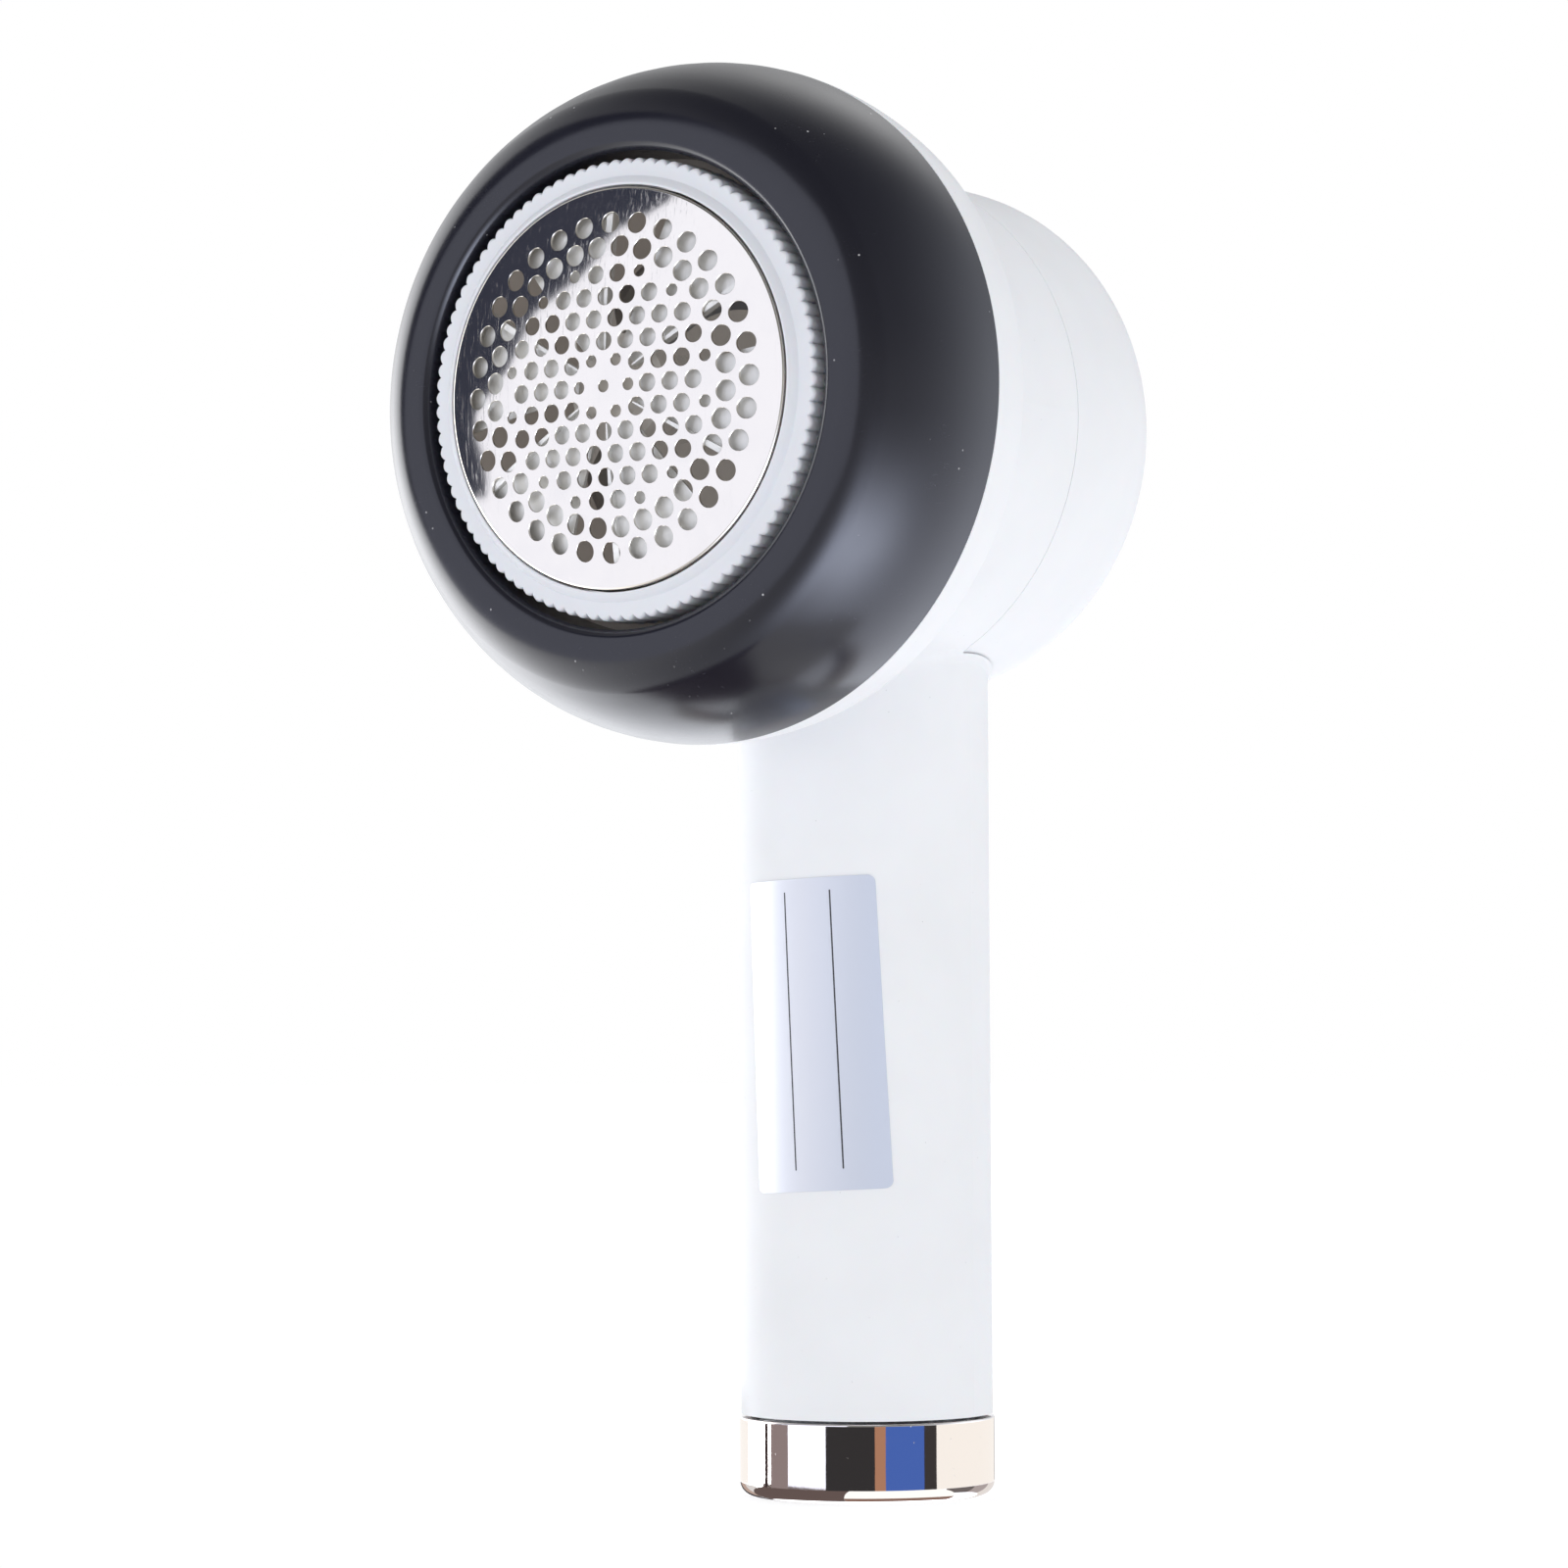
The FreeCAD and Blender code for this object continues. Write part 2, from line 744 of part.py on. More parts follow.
def knurled_ring():
    """Frosted ring that clamps the foil, knurled outside, with three lugs for the seat's thread."""
    body = new_body("knurled_ring", HEAD, turn="lug_turn")
    turned(body, "Revolution", [
        ("nut_bore", "nut_rear"),
        ("knurl_tip - nut_edge", "nut_rear"),
        ("knurl_tip", "nut_rear + nut_edge"),
        ("knurl_tip", "nut_front - nut_edge"),
        ("knurl_tip - nut_edge", "nut_front"),
        ("nut_step", "nut_front + nut_edge / 2"),
        ("nut_step - nut_edge", "nut_front + nut_edge * 2"),
        ("nut_mouth + nut_edge", "nut_front + nut_rise"),
        ("nut_mouth", "nut_front + nut_rise"),
        ("nut_mouth", "nut_ledge"),
        ("nut_bore", "nut_ledge"),
    ])
    lug_outline = rectangle("lug_radius", "lug_rear", "nut_bore + root_bite", "lug_rear + lug_width")
    lug = turned(body, "Revolution", lug_outline, "lug_angle")
    repeated(body, lug, "lug_count")
    sketch = new_sketch(body, "XY_Plane", "nut_rear - overcut")
    draw(sketch, [
        ("knurl_tip - knurl_depth", "0"),
        ("knurl_tip + loose_gap", "-(knurl_width / 2)"),
        ("knurl_tip + loose_gap", "knurl_width / 2"),
    ])
    notch = extruded(body, "Pocket", sketch, "nut_front - nut_rear + overcut * 2", reverse=True)
    repeated(body, notch, "knurl_count")
    node(body, "knurled_ring")


def lattice_holes():
    """One sixth of the foil's inner holes: (x, y, radius) on a triangular lattice."""
    first_norm = 3
    last_norm = 21
    holes = [("pinhole_circle", "0", "pinhole_radius")]
    for i in range(1, 5):
        for j in range(0, 5):
            norm = i * i + i * j + j * j
            if first_norm <= norm <= last_norm:
                radius = "pinhole_radius" if norm == last_norm else "hole_radius"
                x = f"hole_pitch * ({i} + {j} / 2)"
                y = f"hole_pitch * {j} * sqrt(3) / 2" if j else "0"
                holes.append((x, y, radius))
    return holes


def foil_holes(body, circles, count):
    """Punch circles through the foil and repeat them round its axis."""
    sketch = new_sketch(body, "XY_Plane", "foil_skirt")
    for x, y, radius in circles:
        draw_circle(sketch, x, y, radius)
    pocket = extruded(body, "Pocket", sketch, "foil_top - foil_skirt + overcut", reverse=True)
    if count:
        repeated(body, pocket, count)


def foil_guard():
    """Domed steel foil with a short skirt and a flange, punched with round holes."""
    body = new_body("foil_guard", HEAD)
    inner_edge = "foil_edge - foil_thick"
    turned(body, "Revolution", [
        ("0", "foil_top - foil_thick"),
        (inner_edge, dome(inner_edge, "foil_thick"), f"-{dome_radius('foil_thick')}"),
        (inner_edge, "foil_skirt - foil_thick"),
        ("foil_flange", "foil_skirt - foil_thick"),
        ("foil_flange", "foil_skirt"),
        ("foil_edge", "foil_skirt"),
        ("foil_edge", "foil_top - foil_rise"),
        ("0", "foil_top", dome_radius("0")),
    ])
    foil_holes(body, lattice_holes(), "6")
    half_step = "(180 / circle_count)"
    first_hole = (f"inner_circle * cos({half_step})", f"inner_circle * sin({half_step})", "rim_hole_radius")
    foil_holes(body, [first_hole], "circle_count")
    foil_holes(body, [("outer_circle", "0", "rim_hole_radius")], "circle_count")
    foil_holes(body, [("0", "0", "pinhole_radius")], None)
    node(body, "foil_guard")


# ---------------------------------------------------------------- head: cutter and drive

PLATE_DEPTH = "foil_thick + blade_gap + blade_step"
EDGE_DEPTH = "foil_thick + blade_gap"
ARM_DEPTH = "foil_thick + blade_gap + blade_step + blade_thick"


def domed_band(inner, outer, near, far):
    """Outline between two spheres, from a nearer depth behind the foil to a farther one."""
    return [
        (inner, dome(inner, far)),
        (outer, dome(outer, far), f"-{dome_radius(far)}"),
        (outer, dome(outer, near)),
        (inner, dome(inner, near), dome_radius(near)),
    ]


def cutter_blades():
    """Six stamped blades: a low domed plate with its leading edge turned up to the foil."""
    count = int(value("blade_count"))
    for number in range(count):
        turn = f"blade_turn + {number} * 360 / blade_count"
        body = new_body(f"cutter_blade_{number + 1}", HEAD, turn)
        for near, angle in ((PLATE_DEPTH, "blade_angle"), (EDGE_DEPTH, "edge_angle")):
            turned(body, "Revolution", domed_band("blade_root", "blade_reach", near, ARM_DEPTH), angle)
        node(body, f"cutter_blade_{number + 1}")


def blade_carrier():
    """Moulded hub with an arm under each blade and a hexagonal socket for the drive."""
    body = new_body("blade_carrier_blank", HEAD, turn="blade_turn + blade_angle / 2")
    turned(body, "Revolution", [
        ("0", "hub_rear"),
        ("hub_radius", "hub_rear"),
        ("hub_radius", "hub_front"),
        ("boss_radius", "hub_front"),
        ("boss_radius", "boss_front"),
        ("0", "boss_front"),
    ])
    arm_outline = [
        ("arm_root", "arm_rear"),
        ("arm_reach", "arm_rear"),
        ("arm_reach", dome("arm_reach", ARM_DEPTH)),
        ("arm_root", dome("arm_root", ARM_DEPTH), dome_radius(ARM_DEPTH)),
    ]
    arm = turned(body, "Revolution", arm_outline, "arm_angle", middle=True)
    repeated(body, arm, "blade_count")
    socket = hexagon("carrier_socket", "hex_radius + hex_gap", "hub_rear - overcut",
                     "hex_socket - hub_rear + overcut")
    node(cut("blade_carrier", body, socket), "blade_carrier")


def hexagon(name, radius, rear, length):
    """A hexagonal bar on the head's axis."""
    bar = doc.addObject("Part::Prism", name)
    bar.Polygon = 6
    bind(bar, "Circumradius", radius)
    bind(bar, "Height", length)
    place(bar, HEAD, z=rear, turn="blade_turn + blade_angle / 2")
    return bar


def drive_coupler():
    """Moulded coupler pressed on the shaft: a sleeve, a spring seat and a hexagonal nose."""
    body = lathe("coupler_body", HEAD, [
        ("0", "coupler_rear"),
        ("coupler_sleeve", "coupler_rear"),
        ("coupler_sleeve", "coupler_disc_rear"),
        ("coupler_disc", "coupler_disc_rear"),
        ("coupler_disc", "coupler_disc_front"),
        ("0", "coupler_disc_front"),
    ])
    nose = hexagon("coupler_nose", "hex_radius", "coupler_disc_front - overcut",
                   "hex_front - coupler_disc_front + overcut")
    bore_length = "shaft_front - coupler_rear + overcut + shaft_room"
    bore = cylinder("coupler_bore", HEAD, "shaft_radius + press_gap", bore_length, z="coupler_rear - overcut")
    node(cut("drive_coupler", fuse("coupler_blank", body, nose), bore), "drive_coupler")


def blade_spring():
    """Spring between the coupler and the blade carrier that keeps the blades against the foil."""
    room = "hub_rear - coupler_disc_front - spring_wire * 2 - loose_gap * 2"
    spring = coil("blade_spring", HEAD, "spring_radius", "spring_wire", "spring_turns",
                  "coupler_disc_front + spring_wire + loose_gap", room)
    node(spring, "blade_spring")


def motor():
    """Small brushed motor: can, end bell, bushings, magnets, terminals, shaft and armature."""
    can = lathe("motor_can_blank", HEAD, [
        ("can_radius - can_wall", "can_rear"),
        ("can_radius", "can_rear"),
        ("can_radius", "can_front"),
        ("can_boss_radius", "can_front"),
        ("can_boss_radius", "can_boss_front"),
        ("bush_radius + press_gap", "can_boss_front"),
        ("bush_radius + press_gap", "can_front - can_wall"),
        ("can_radius - can_wall", "can_front - can_wall"),
    ])
    taps = []
    for x, y in circle_places("motor_screw_circle", MOTOR_SCREW_COUNT, 0.0):
        taps.append(cylinder("can_tap", HEAD, "motor_screw_shank + loose_gap", "can_wall + overcut * 2",
                             x, y, "can_front - can_wall - overcut"))
    node(cut("motor_can", can, *taps), "motor_can")

    bell_bore = "bush_radius + press_gap"
    bell = lathe("motor_end_bell_blank", HEAD, [
        (bell_bore, "bell_rear"),
        ("can_radius", "bell_rear"),
        ("can_radius", "can_rear - loose_gap"),
        ("can_radius - can_wall - loose_gap", "can_rear - loose_gap"),
        ("can_radius - can_wall - loose_gap", "bell_plug"),
        ("bell_bore", "bell_plug"),
        ("bell_bore", "can_rear"),
        (bell_bore, "can_rear"),
    ])
    slots = []
    terminals = []
    for side in ("-", ""):
        place_x = f"{side}terminal_place"
        slots.append(block("terminal_slot", HEAD, "terminal_thick + loose_gap * 2",
                           "terminal_width + loose_gap * 2", "bell_plug",
                           place_x, "0", "bell_rear - overcut"))
        terminals.append(block("terminal_blade", HEAD, "terminal_thick", "terminal_width",
                               "can_rear - terminal_rear", place_x, "0", "terminal_rear"))
    node(cut("motor_end_bell", bell, *slots), "motor_end_bell")
    node(gather("motor_terminals", terminals), "motor_terminals")

    bush_bore = "shaft_radius + running_gap"
    for label, rear, length in (("motor_bushing_front", "can_boss_front - bush_length", "bush_length"),
                                ("motor_bushing_rear", "bell_rear", "can_rear - bell_rear")):
        bush = cylinder(label + "_outer", HEAD, "bush_radius", length, z=rear)
        bore = cylinder(label + "_bore", HEAD, bush_bore, "bush_length + overcut * 2", z=f"{rear} - overcut")
        node(cut(label, bush, bore), label)

    magnet_outline = rectangle("magnet_inner", "magnet_rear",
                               "can_radius - can_wall - loose_gap", "magnet_front")
    for number, turn in ((1, "magnet_turn"), (2, "magnet_turn + 180")):
        name = f"motor_magnet_{number}"
        node(lathe(name, HEAD, magnet_outline, "magnet_angle", turn), name)

    shaft = cylinder("motor_shaft", HEAD, "shaft_radius", "shaft_front - shaft_rear", z="shaft_rear")
    node(shaft, "motor_shaft")

    core = new_body("motor_armature", HEAD)
    turned(core, "Revolution", rectangle("shaft_radius + press_gap", "armature_rear",
                                         "armature_radius", "armature_front"))
    sketch = new_sketch(core, "XY_Plane", "armature_rear - overcut")
    draw(sketch, rectangle("armature_radius / 2", "-(armature_slot / 2)",
                           "armature_radius + overcut", "armature_slot / 2"))
    slot = extruded(core, "Pocket", sketch, "armature_front - armature_rear + overcut * 2", reverse=True)
    repeated(core, slot, "armature_slots")
    node(core, "motor_armature")

    ring = lathe("motor_commutator", HEAD, rectangle("shaft_radius + press_gap", "commutator_rear",
                                                     "commutator_radius", "commutator_front"))
    node(ring, "motor_commutator")


def motor_pod():
    """Carrier that centres the motor in the housing on three struts, and its rear cap."""
    body = new_body("motor_pod_blank", HEAD, turn="90")
    turned(body, "Revolution", [
        ("pod_bore", "pod_rear"),
        ("pod_radius", "pod_rear"),
        ("pod_radius", "pod_front"),
        ("pod_mouth", "pod_front"),
        ("pod_mouth", "pod_front - pod_face"),
        ("pod_bore", "pod_front - pod_face"),
    ])
    sketch = new_sketch(body, "XY_Plane", "strut_rear")
    draw(sketch, rectangle("pod_radius - strut_bite", "-(strut_thick / 2)",
                           "spider_inner + strut_bite", "strut_thick / 2"))
    strut = extruded(body, "Pad", sketch, "strut_length")
    repeated(body, strut, "strut_count")
    turned(body, "Revolution", rectangle("spider_inner", "strut_rear", "spider_radius",
                                         "strut_rear + strut_length"))
    holes = []
    screws = []
    for number, (x, y) in enumerate(circle_places("motor_screw_circle", MOTOR_SCREW_COUNT, 0.0), start=1):
        holes.append(cylinder("pod_hole", HEAD, "motor_screw_shank + screw_gap", "pod_face + overcut * 2",
                              x, y, "pod_front - pod_face - overcut"))
        head = cylinder("motor_screw_head", HEAD, "motor_screw_head", "motor_screw_head_height",
                        x, y, "pod_front")
        shank = cylinder("motor_screw_shank", HEAD, "motor_screw_shank", "motor_screw_length",
                         x, y, "pod_front - motor_screw_length")
        screws.append((fuse("motor_screw", head, shank), f"motor_screw_{number}"))
    node(cut("motor_pod", body, *holes), "motor_pod")
    for screw, label in screws:
        node(screw, label)
    node(lathe("motor_pod_cap", HEAD, [
        ("0", "cap_rear"),
        ("pod_radius - cap_skin", "cap_rear"),
        ("pod_radius", "cap_rear + cap_skin", "cap_skin"),
        ("pod_radius", "pod_rear - loose_gap"),
        ("pod_radius - cap_skin", "pod_rear - loose_gap"),
        ("pod_radius - cap_skin", "cap_rear + cap_skin"),
        ("0", "cap_rear + cap_skin"),
    ]), "motor_pod_cap")


# ---------------------------------------------------------------- housing and lint bin

def main_body():
    """White housing: a short round drum and the straight handle, moulded in one."""
    body = new_body("main_body", HEAD)
    turned(body, "Revolution", rectangle("0", "-(bin_back)", "drum_radius", "drum_front"))
    grip = new_sketch(body, "XZ_Plane", "grip_root")
    draw_circle(grip, "0", "0", "handle_radius")
    extruded(body, "Pad", grip, "axis_height - handle_foot - grip_root")
    doc.recompute()
    sharp = body.Tip
    fillet = body.newObject("PartDesign::Fillet", "root_rounding")
    fillet.Base = (sharp, junction_edges(sharp))
    fillet.Radius = value("root_fillet")
    bind(fillet, "Radius", "root_fillet")
    saddle = "drum_radius + saddle_gap"
    turned(body, "Groove", rectangle("0", "-(drum_radius)", saddle, "bin_seam"))
    inner = "drum_radius - drum_wall"
    turned(body, "Groove", rectangle("0", "bin_seam - overcut", inner, "drum_front + overcut"))
    doc.recompute()

    post_place = circle_places("screw_circle", SCREW_COUNT, SCREW_TURN)[0]
    posts = new_sketch(body, "XY_Plane", "boss_rear")
    draw_circle(posts, *post_place, "boss_post")
    post = extruded(body, "Pad", posts, "drum_front - boss_rear")
    repeated(body, post, str(SCREW_COUNT))
    taps = new_sketch(body, "XY_Plane", "boss_rear - overcut")
    draw_circle(taps, *post_place, "screw_shank + loose_gap")
    tap = extruded(body, "Pocket", taps, "drum_front - boss_rear + overcut * 2", reverse=True)
    repeated(body, tap, str(SCREW_COUNT))

    bore = new_sketch(body, "XZ_Plane", "axis_height - handle_foot")
    draw_circle(bore, "0", "0", "handle_radius - handle_wall")
    extruded(body, "Pocket", bore, "bore_top - handle_foot")

    button = new_sketch(body, "XY_Plane")
    draw_circle(button, "0", "button_height - axis_height", "button_hole")
    draw_circle(button, "0", "button_height - lens_drop - axis_height", "lens_hole")
    extruded(body, "Pocket", button, "handle_radius + overcut * 2")
    node(body, "main_body")


def junction_edges(feature):
    """Edges of the drum's skin where the handle grows out of it: the only curves that aren't circles."""
    return [f"Edge{index}" for index, edge in enumerate(feature.Shape.Edges, start=1)
            if edge.Curve.TypeId == "Part::GeomBSplineCurve"]


def lint_bin():
    """White cup that closes the back of the housing and slides off backward."""
    shape = ("drum_radius", "-(bin_straight)", "bin_corner", "bin_back - bin_straight", "bin_nose")
    begin, middle, end, long_arc, short_arc = oval(*shape, way=-1)
    in_begin, in_middle, in_end, in_long, in_short = oval(*shape, wall="bin_wall", way=-1)
    front = "bin_seam - bin_gap"
    groove = "spigot_radius - seal_depth"
    spigot_inner = "spigot_radius - spigot_wall"
    node(lathe("lint_bin", HEAD, [
        ("drum_radius", front),
        ("spigot_radius", front),
        ("spigot_radius", "seal_front - seal_length"),
        (groove, "seal_front - seal_length"),
        (groove, "seal_front"),
        ("spigot_radius", "seal_front"),
        ("spigot_radius", "spigot_front"),
        (spigot_inner, "spigot_front"),
        (spigot_inner, "-(spigot_root)"),
        ("drum_radius - bin_wall", "-(spigot_root) - bin_wall"),
        in_begin,
        (*in_middle, f"-{in_long}"),
        (*in_end, f"-{in_short}"),
        ("0", in_end[1]),
        ("0", end[1]),
        end,
        (*middle, short_arc),
        (*begin, long_arc),
    ]), "lint_bin")
    seal_inner = "spigot_radius - seal_depth + seal_gap"
    seal_outer = "drum_radius - drum_wall - seal_gap"
    seal_rear = "seal_front - seal_length + seal_gap"
    seal = lathe("bin_seal", HEAD, rectangle(seal_inner, seal_rear, seal_outer, "seal_front - seal_gap"))
    node(seal, "bin_seal")


# ---------------------------------------------------------------- handle: end cap and socket

def end_cap():
    """Polished cup on the foot of the handle, with a slot for the charging plug."""
    inner = "foot_radius - foot_wall"
    cup = lathe("end_cap_blank", HANDLE, [
        ("0", "0"),
        ("foot_radius - foot_round", "0"),
        ("foot_radius", "foot_round", "foot_round"),
        ("foot_radius", "foot_height - foot_edge"),
        ("foot_radius - foot_edge", "foot_height"),
        (inner, "foot_height"),
        (inner, "foot_floor + foot_round"),
        ("foot_radius - foot_round", "foot_floor"),
        ("0", "foot_floor"),
    ])
    mouth = capsule("end_cap_mouth", HANDLE, "socket_x + socket_gap * 2", "socket_y + socket_gap * 2",
                    "foot_floor + overcut * 2", "-(overcut)")
    node(cut("end_cap", cup, mouth), "end_cap")


def cap_weight():
    """Steel disc that keeps the standing shaver upright."""
    disc = lathe("cap_weight_blank", HANDLE, [
        ("0", "ballast_base"),
        ("ballast_radius - foot_round", "ballast_base"),
        ("ballast_radius", "ballast_base + foot_round"),
        ("ballast_radius", "ballast_top"),
        ("0", "ballast_top"),
    ])
    slot = block("cap_weight_slot", HANDLE, "ballast_slot_x", "ballast_slot_y", "ballast_top",
                 z="ballast_base - overcut")
    recess = block("cap_weight_recess", HANDLE, "socket_board_x + recess_gap * 2",
                   "socket_board_y + recess_gap * 2", "ballast_top", z="socket_top")
    node(cut("cap_weight", disc, slot, recess), "cap_weight")


def cap_plug():
    """Moulded plug that joins the end cap to the handle's bore."""
    node(lathe("cap_plug", HANDLE, [
        ("plug_bore", "plug_base"),
        ("ballast_radius", "plug_base"),
        ("ballast_radius", "plug_shoulder"),
        ("plug_radius", "plug_shoulder"),
        ("plug_radius", "plug_top"),
        ("plug_bore", "plug_top"),
    ]), "cap_plug")


def charge_socket():
    """Charging socket in the end cap, and the small board it is soldered to."""
    length = "socket_top - socket_base"
    shell = capsule("socket_shell", HANDLE, "socket_x", "socket_y", length, "socket_base")
    inside_x = "socket_x - socket_wall * 2"
    inside_y = "socket_y - socket_wall * 2"
    cavity = capsule("socket_cavity", HANDLE, inside_x, inside_y, length, "socket_base - socket_wall * 3")
    tongue = block("socket_tongue", HANDLE, "tongue_x", "tongue_y", "socket_top - tongue_base",
                   z="tongue_base")
    node(fuse("charge_socket", cut("socket_hollow", shell, cavity), tongue), "charge_socket")
    board = block("socket_board", HANDLE, "socket_board_x", "socket_board_y", "socket_board_thick",
                  z="socket_top + loose_gap")
    node(board, "socket_board")


# ---------------------------------------------------------------- handle: cell and circuit board

def battery():
    """Rechargeable cell with its contacts, held by two moulded cradles."""
    node(lathe("battery_cell_blank", HANDLE, [
        ("0", "cell_base"),
        ("cell_radius - cell_bevel", "cell_base"),
        ("cell_radius", "cell_base + cell_bevel", "cell_bevel"),
        ("cell_radius", "cell_base + cell_length - cell_button_height - cell_crimp"),
        ("cell_radius - cell_crimp", "cell_base + cell_length - cell_button_height", "cell_crimp"),
        ("cell_button_radius", "cell_base + cell_length - cell_button_height"),
        ("cell_button_radius", "cell_base + cell_length"),
        ("0", "cell_base + cell_length"),
    ]), "battery_cell")
    place(nodes[-1], HANDLE, y="cell_setback")

    for label, base, top, solid_base in (
            ("cradle_lower", "lower_cradle_base", "lower_cradle_top", "lower_cradle_base + cradle_end"),
            ("cradle_upper", "upper_cradle_base", "upper_cradle_top", "upper_cradle_base - overcut")):
        disc = cylinder(label + "_disc", HANDLE, "cradle_radius", f"{top} - {base}", z=base)
        pocket_length = f"{top} - {base} + 1 - cradle_end"
        bore = cylinder(label + "_bore", HANDLE, "cell_radius + cradle_gap", pocket_length,
                        y="cell_setback", z=solid_base)
        board_room = block(label + "_board_room", HANDLE, "cradle_radius * 2", "cradle_radius",
                           "cradle_radius * 3", y="board_near - loose_gap * 2 + cradle_radius / 2",
                           z=f"{top} - cradle_radius")
        tools = [bore] if label == "cradle_lower" else [bore, board_room]
        node(cut(label, disc, *tools), label)

    floor = "(lower_cradle_base + cradle_end)"
    lower = cylinder("contact_lower", HANDLE, "contact_radius", f"cell_base - {floor} - contact_gap * 2",
                     y="cell_setback", z=f"{floor} + contact_gap")
    node(lower, "battery_contact_lower")
    ceiling = "(upper_cradle_top - cradle_end)"
    cell_top = "(cell_base + cell_length)"
    upper = cylinder("contact_upper", HANDLE, "contact_radius", f"{ceiling} - {cell_top} - contact_gap * 2",
                     y="cell_setback", z=f"{cell_top} + contact_gap")
    node(upper, "battery_contact_upper")


def electronics():
    """Circuit board behind the cell, with its components, switch and light."""
    board = block("control_board", HANDLE, "board_width", "board_thick", "board_top - board_base",
                  y="board_near + board_thick / 2", z="board_base")
    node(board, "control_board")
    face = "board_near + board_thick + press_gap"
    parts = []
    for x, z, wide, tall, deep in BOARD_PARTS:
        parts.append(block("chip", HANDLE, wide, deep, tall, x, f"{face} + {deep} / 2", z))
    node(gather("board_parts", parts), "board_parts")

    base = "board_near + board_thick + press_gap"
    case = block("switch_case", BACK, "switch_side", "switch_side", "switch_depth", z=base)
    plunger = cylinder("switch_plunger", BACK, "plunger_radius", f"plunger_front - ({base})", z=base)
    node(fuse("tact_switch", case, plunger), "tact_switch")
    node(block("status_led", BACK, "led_side", "led_side", "led_depth", y="lens_drop", z=base), "status_led")
    lens = cylinder("status_lens", BACK, "lens_radius", "lens_front - lens_back",
                    y="lens_drop", z="lens_back")
    node(lens, "status_lens")


def power_button():
    """Round push button on the handle's back, in a polished bezel, on a return spring."""
    node(lathe("power_button", BACK, [
        ("0", "stem_end"),
        ("stem_radius", "stem_end"),
        ("stem_radius", "button_back"),
        ("button_flange", "button_back"),
        ("button_flange", "button_back + button_flange_length"),
        ("button_radius", "button_back + button_flange_length"),
        ("button_radius", "button_front - button_crown"),
        ("button_radius - button_crown", "button_front", "button_crown"),
        ("0", "button_front"),
    ]), "power_button")
    node(lathe("button_bezel", BACK, [
        ("bezel_bore", "bezel_back"),
        ("bezel_radius", "bezel_back"),
        ("bezel_radius", "bezel_front - bezel_round"),
        ("bezel_radius - bezel_round", "bezel_front", "bezel_round"),
        ("bezel_bore", "bezel_front"),
    ]), "button_bezel")
    seat = "board_near + board_thick + button_spring_wire + loose_gap"
    room = f"button_back - button_spring_wire - loose_gap - ({seat})"
    spring = coil("button_spring", BACK, "button_spring_radius", "button_spring_wire",
                  "button_spring_turns", seat, room)
    node(spring, "button_spring")


def rating_label():
    """Plain label with rounded corners, wrapped on the handle and slightly askew."""
    skin = lathe("label_skin", HANDLE, rectangle("handle_radius + label_gap", "handle_foot",
                                                 "handle_radius + label_gap + label_thick", "bore_top"))
    patch = doc.addObject("Part::Box", "label_patch")
    bind(patch, "Length", "label_width")
    bind(patch, "Width", "label_length")
    bind(patch, "Height", "label_cut_depth")
    doc.recompute()
    rounded = doc.addObject("Part::Fillet", "label_rounded")
    rounded.Base = patch
    radius = value("label_corner")
    upright = [index for index, edge in enumerate(patch.Shape.Edges, start=1)
               if abs(edge.tangentAt(edge.FirstParameter).z) > UPRIGHT]
    rounded.Edges = [(index, radius, radius) for index in upright]
    turn = FreeCAD.Rotation(FreeCAD.Vector(0, 0, 1), value("label_turn"))
    upend = FreeCAD.Rotation(FreeCAD.Vector(1, 0, 0), 90)
    tilt = FreeCAD.Rotation(FreeCAD.Vector(0, 0, 1), value("label_tilt"))
    stand = FreeCAD.Placement(FreeCAD.Vector(0, 0, value("label_height")), turn * upend * tilt)
    corner = FreeCAD.Vector(-value("label_width") / 2, -value("label_length") / 2, 0)
    rounded.Placement = stand * FreeCAD.Placement(corner, FreeCAD.Rotation())
    node(common("rating_label", skin, rounded), "rating_label")


# ---------------------------------------------------------------- build, check and write

def build():
    """Make every sub-part."""
    front_ring()
    collar()
    guard_seat()
    seat_screws()
    knurled_ring()
    foil_guard()
    cutter_blades()
    blade_carrier()
    drive_coupler()
    blade_spring()
    motor()
    motor_pod()
    main_body()
    lint_bin()
    end_cap()
    cap_weight()
    cap_plug()
    charge_socket()
    battery()
    electronics()
    power_button()
    rating_label()
    doc.recompute()


def check():
    """Stop if any object failed or any sub-part is empty or invalid."""
    for thing in doc.Objects:
        bad = [word for word in thing.State if word in ("Invalid", "Error")]
        if bad:
            raise RuntimeError(f"{thing.Label}: {bad}")
    for thing in nodes:
        if thing.Shape.isNull() or not thing.Shape.isValid() or thing.Shape.Volume <= 0:
            raise RuntimeError(f"{thing.Label}: no valid solid")
        print(f"{thing.Label}: {len(thing.Shape.Solids)} solid, {thing.Shape.Volume:.1f} mm3")


def write():
    """Write one STEP file for each sub-part."""
    os.makedirs("parts", exist_ok=True)
    for thing in nodes:
        thing.Shape.exportStep(f"parts/{thing.Label}.step")


build()
check()
write()
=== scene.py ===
import math

import bpy
from mathutils import Matrix, Vector
from mathutils.geometry import delaunay_2d_cdt

